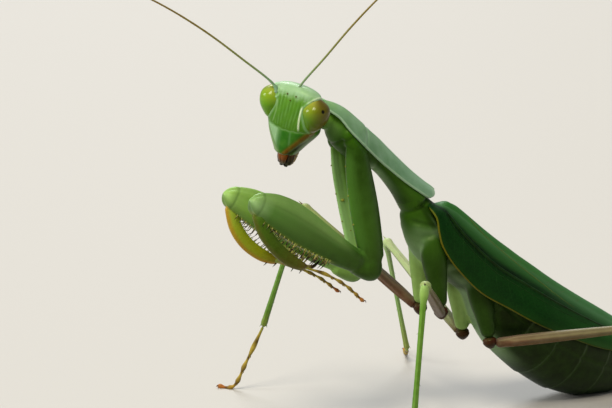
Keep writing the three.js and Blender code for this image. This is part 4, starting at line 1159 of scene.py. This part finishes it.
# Soft tan cuticle with a dark ring at each joint
palpPale = cuticle("palpCuticle",
    along=[(0, "7a5c38"), (0.3, "a89474"), (0.36, "4a2c18"), (0.42, "a0845c"), (0.66, "947450"),
        (0.7, "3a2010"), (0.76, "a08a6a"), (1, "5a3a1c")], pale="b8a486", rough=0.4, cloud=0.6)
makeLimb("labrum", lipBrown, "mouthpart", "labrum", local=headPlace,
    line=lineThrough((0, 1.2, -5.9), (0, 1.15, -6.8), (0, 0.8, -7.7)), up=(0, 1, 0),
    side=sizes((0, 0.72), (0.5, 0.6), (1, 0.3)), top=sizes((0, 0.36), (1, 0.2)),
    under=sizes((0, 0.9), (1, 0.5)), sides=40, steps=32, blunt=(0.1, 0.3),
    relief=lambda t, c, s: -0.08 * hump(c, 0, 0.15) * ease(s, 0, 0.5))
for name, node, side in bothSides:
    makeLimb("mandible" + name, jawBrown, "mouthpart", f"mandible_{node}", local=headPlace,
        line=lineThrough((side * 0.62, 0.1, -5.7), (side * 0.56, 0.3, -7.1), (side * 0.2, 0.55, -8)),
        up=(0, 1, 0), side=sizes((0, 0.7), (0.6, 0.62), (1, 0.22)), top=sizes((0, 0.75), (1, 0.3)),
        relief=lambda t, c, s: 0.06 * cos(t * 26) * ease(t, 0.55, 0.75), sides=28, steps=32)
    bm = newMesh()
    limb(bm, up=(0, 1, 0), side=sizes((0, 0.28), (0.5, 0.26), (1, 0.16)), sides=16, steps=44,
        line=lineThrough((side * 0.8, -1.1, -5.8), (side * 0.9, -0.6, -6.9), (side * 0.78, -0.3, -7.5),
            (side * 0.4, -0.1, -7.9)),
        relief=lambda t, c, s: -0.07 * (hump(t, 0.36, 0.02) + hump(t, 0.7, 0.02)))
    limb(bm, up=(0, 1, 0), side=sizes((0, 0.24), (0.5, 0.22), (1, 0.14)), sides=14, steps=30,
        line=lineThrough((side * 0.7, -1.5, -5.7), (side * 0.8, -1.2, -6.7), (side * 0.5, -0.8, -7.4)),
        relief=lambda t, c, s: -0.06 * hump(t, 0.5, 0.03))
    makePiece(bm, "palp" + name, palpPale, "mouthpart", f"palp_{node}", local=headPlace)

# Feelers: a stout first joint, then a whip of short rings that thins towards its end
antenna = dict(
    left=((-22.5, -1.1, 46.4), (-22.3, -1.3, 47.5), (-18.5, -2.2, 51.8), (-15, -3, 55.7),
        (-11.3, -4.2, 59.6), (-4.6, -6.4, 66)),
    right=((-24.1, 1, 46.9), (-24.3, 1.3, 47.9), (-28.4, 3, 51.6), (-33.4, 5, 55.6), (-39.3, 7, 59.3),
        (-46.6, 9.6, 62.6)),
    ring=0.36,  # mm from ring to ring
)
# Dull fine cuticle, green at the root and amber further out
antennaAmber = cuticle("antennaCuticle",
    along=[(0, "7a9c80"), (0.05, "6f9470"), (0.2, "74804a"), (0.45, "7a6a34"), (1, "7a5228")],
    pale="94925a", cloudShare=0.2, rough=0.42, pits=0.1)
for name, node, side in bothSides:
    line = lineThrough(*antenna[node])
    rings = line.length / antenna["ring"]
    makeLimb("antenna" + name, antennaAmber, "antenna", f"antenna_{node}", line=line, up=(0, -1, 0.2),
        side=sizes((0, 0.26), (0.03, 0.26), (0.045, 0.17), (0.06, 0.18), (0.08, 0.14), (0.5, 0.12),
            (1, 0.08)),
        relief=lambda t, c, s: 0.025 * ((t * rings) % 1) * ease(t, 0.06, 0.09),
        sides=12, steps=420, blunt=(0.01, 0.006))
print("head")

# Studio: a pale floor under even light: a warm sun high on the left and softer ones behind
studio = dict(floor="b9b6ae", floorSize=9, world="dfe3e6", worldStrength=0.28)
bpy.ops.mesh.primitive_plane_add(size=studio["floorSize"], location=(0, 0, 0))
floor = bpy.context.object
floor.name = "studioFloor"
# Matt painted board, so that the floor shows only soft shadows
material, tree = newMaterial("paleFloor")
paint = addNode(tree, "BsdfPrincipled", {"Base Color": colour(studio["floor"]), "Roughness": 0.7})
addNode(tree, "OutputMaterial", {"Surface": paint})
floor.data.materials.append(material)
world = bpy.data.worlds.new("studioSky")
world.use_nodes = True
sky = world.node_tree.nodes["Background"].inputs
sky["Color"].default_value, sky["Strength"].default_value = colour(studio["world"]), studio["worldStrength"]
bpy.context.scene.world = world
bpy.context.scene.view_settings.view_transform = "Standard"
suns = dict(  # where from, strength, softness in degrees, colour
    key=((-0.2, -0.14, 0.36), 2.6, 22, "fff6e8"),
    back=((0.12, 0.26, 0.3), 2.0, 30, "f4f8ff"),
    rim=((-0.34, 0.16, 0.16), 1.7, 24, "ffffff"),
)
for name, (place, strength, softness, tone) in suns.items():
    lamp = bpy.data.lights.new(name + "Light", "SUN")
    lamp.energy, lamp.angle, lamp.color = strength, radians(softness), colour(tone)[:3]
    holder = bpy.data.objects.new(name + "Light", lamp)
    holder.rotation_euler = (-Vector(place)).to_track_quat("-Z", "Y").to_euler()
    bpy.context.scene.collection.objects.link(holder)

camera = dict(place=(-0.1375, -0.19119, 0.06863), turn=(81, 0, -31), lens=100)
lens = bpy.data.cameras.new("camera")
lens.lens, lens.sensor_width, lens.clip_start = camera["lens"], 36, 0.01
viewer = bpy.data.objects.new("camera", lens)
viewer.location = camera["place"]
viewer.rotation_euler = Euler([radians(a) for a in camera["turn"]])
bpy.context.scene.collection.objects.link(viewer)
bpy.context.scene.camera = viewer
print("studio")
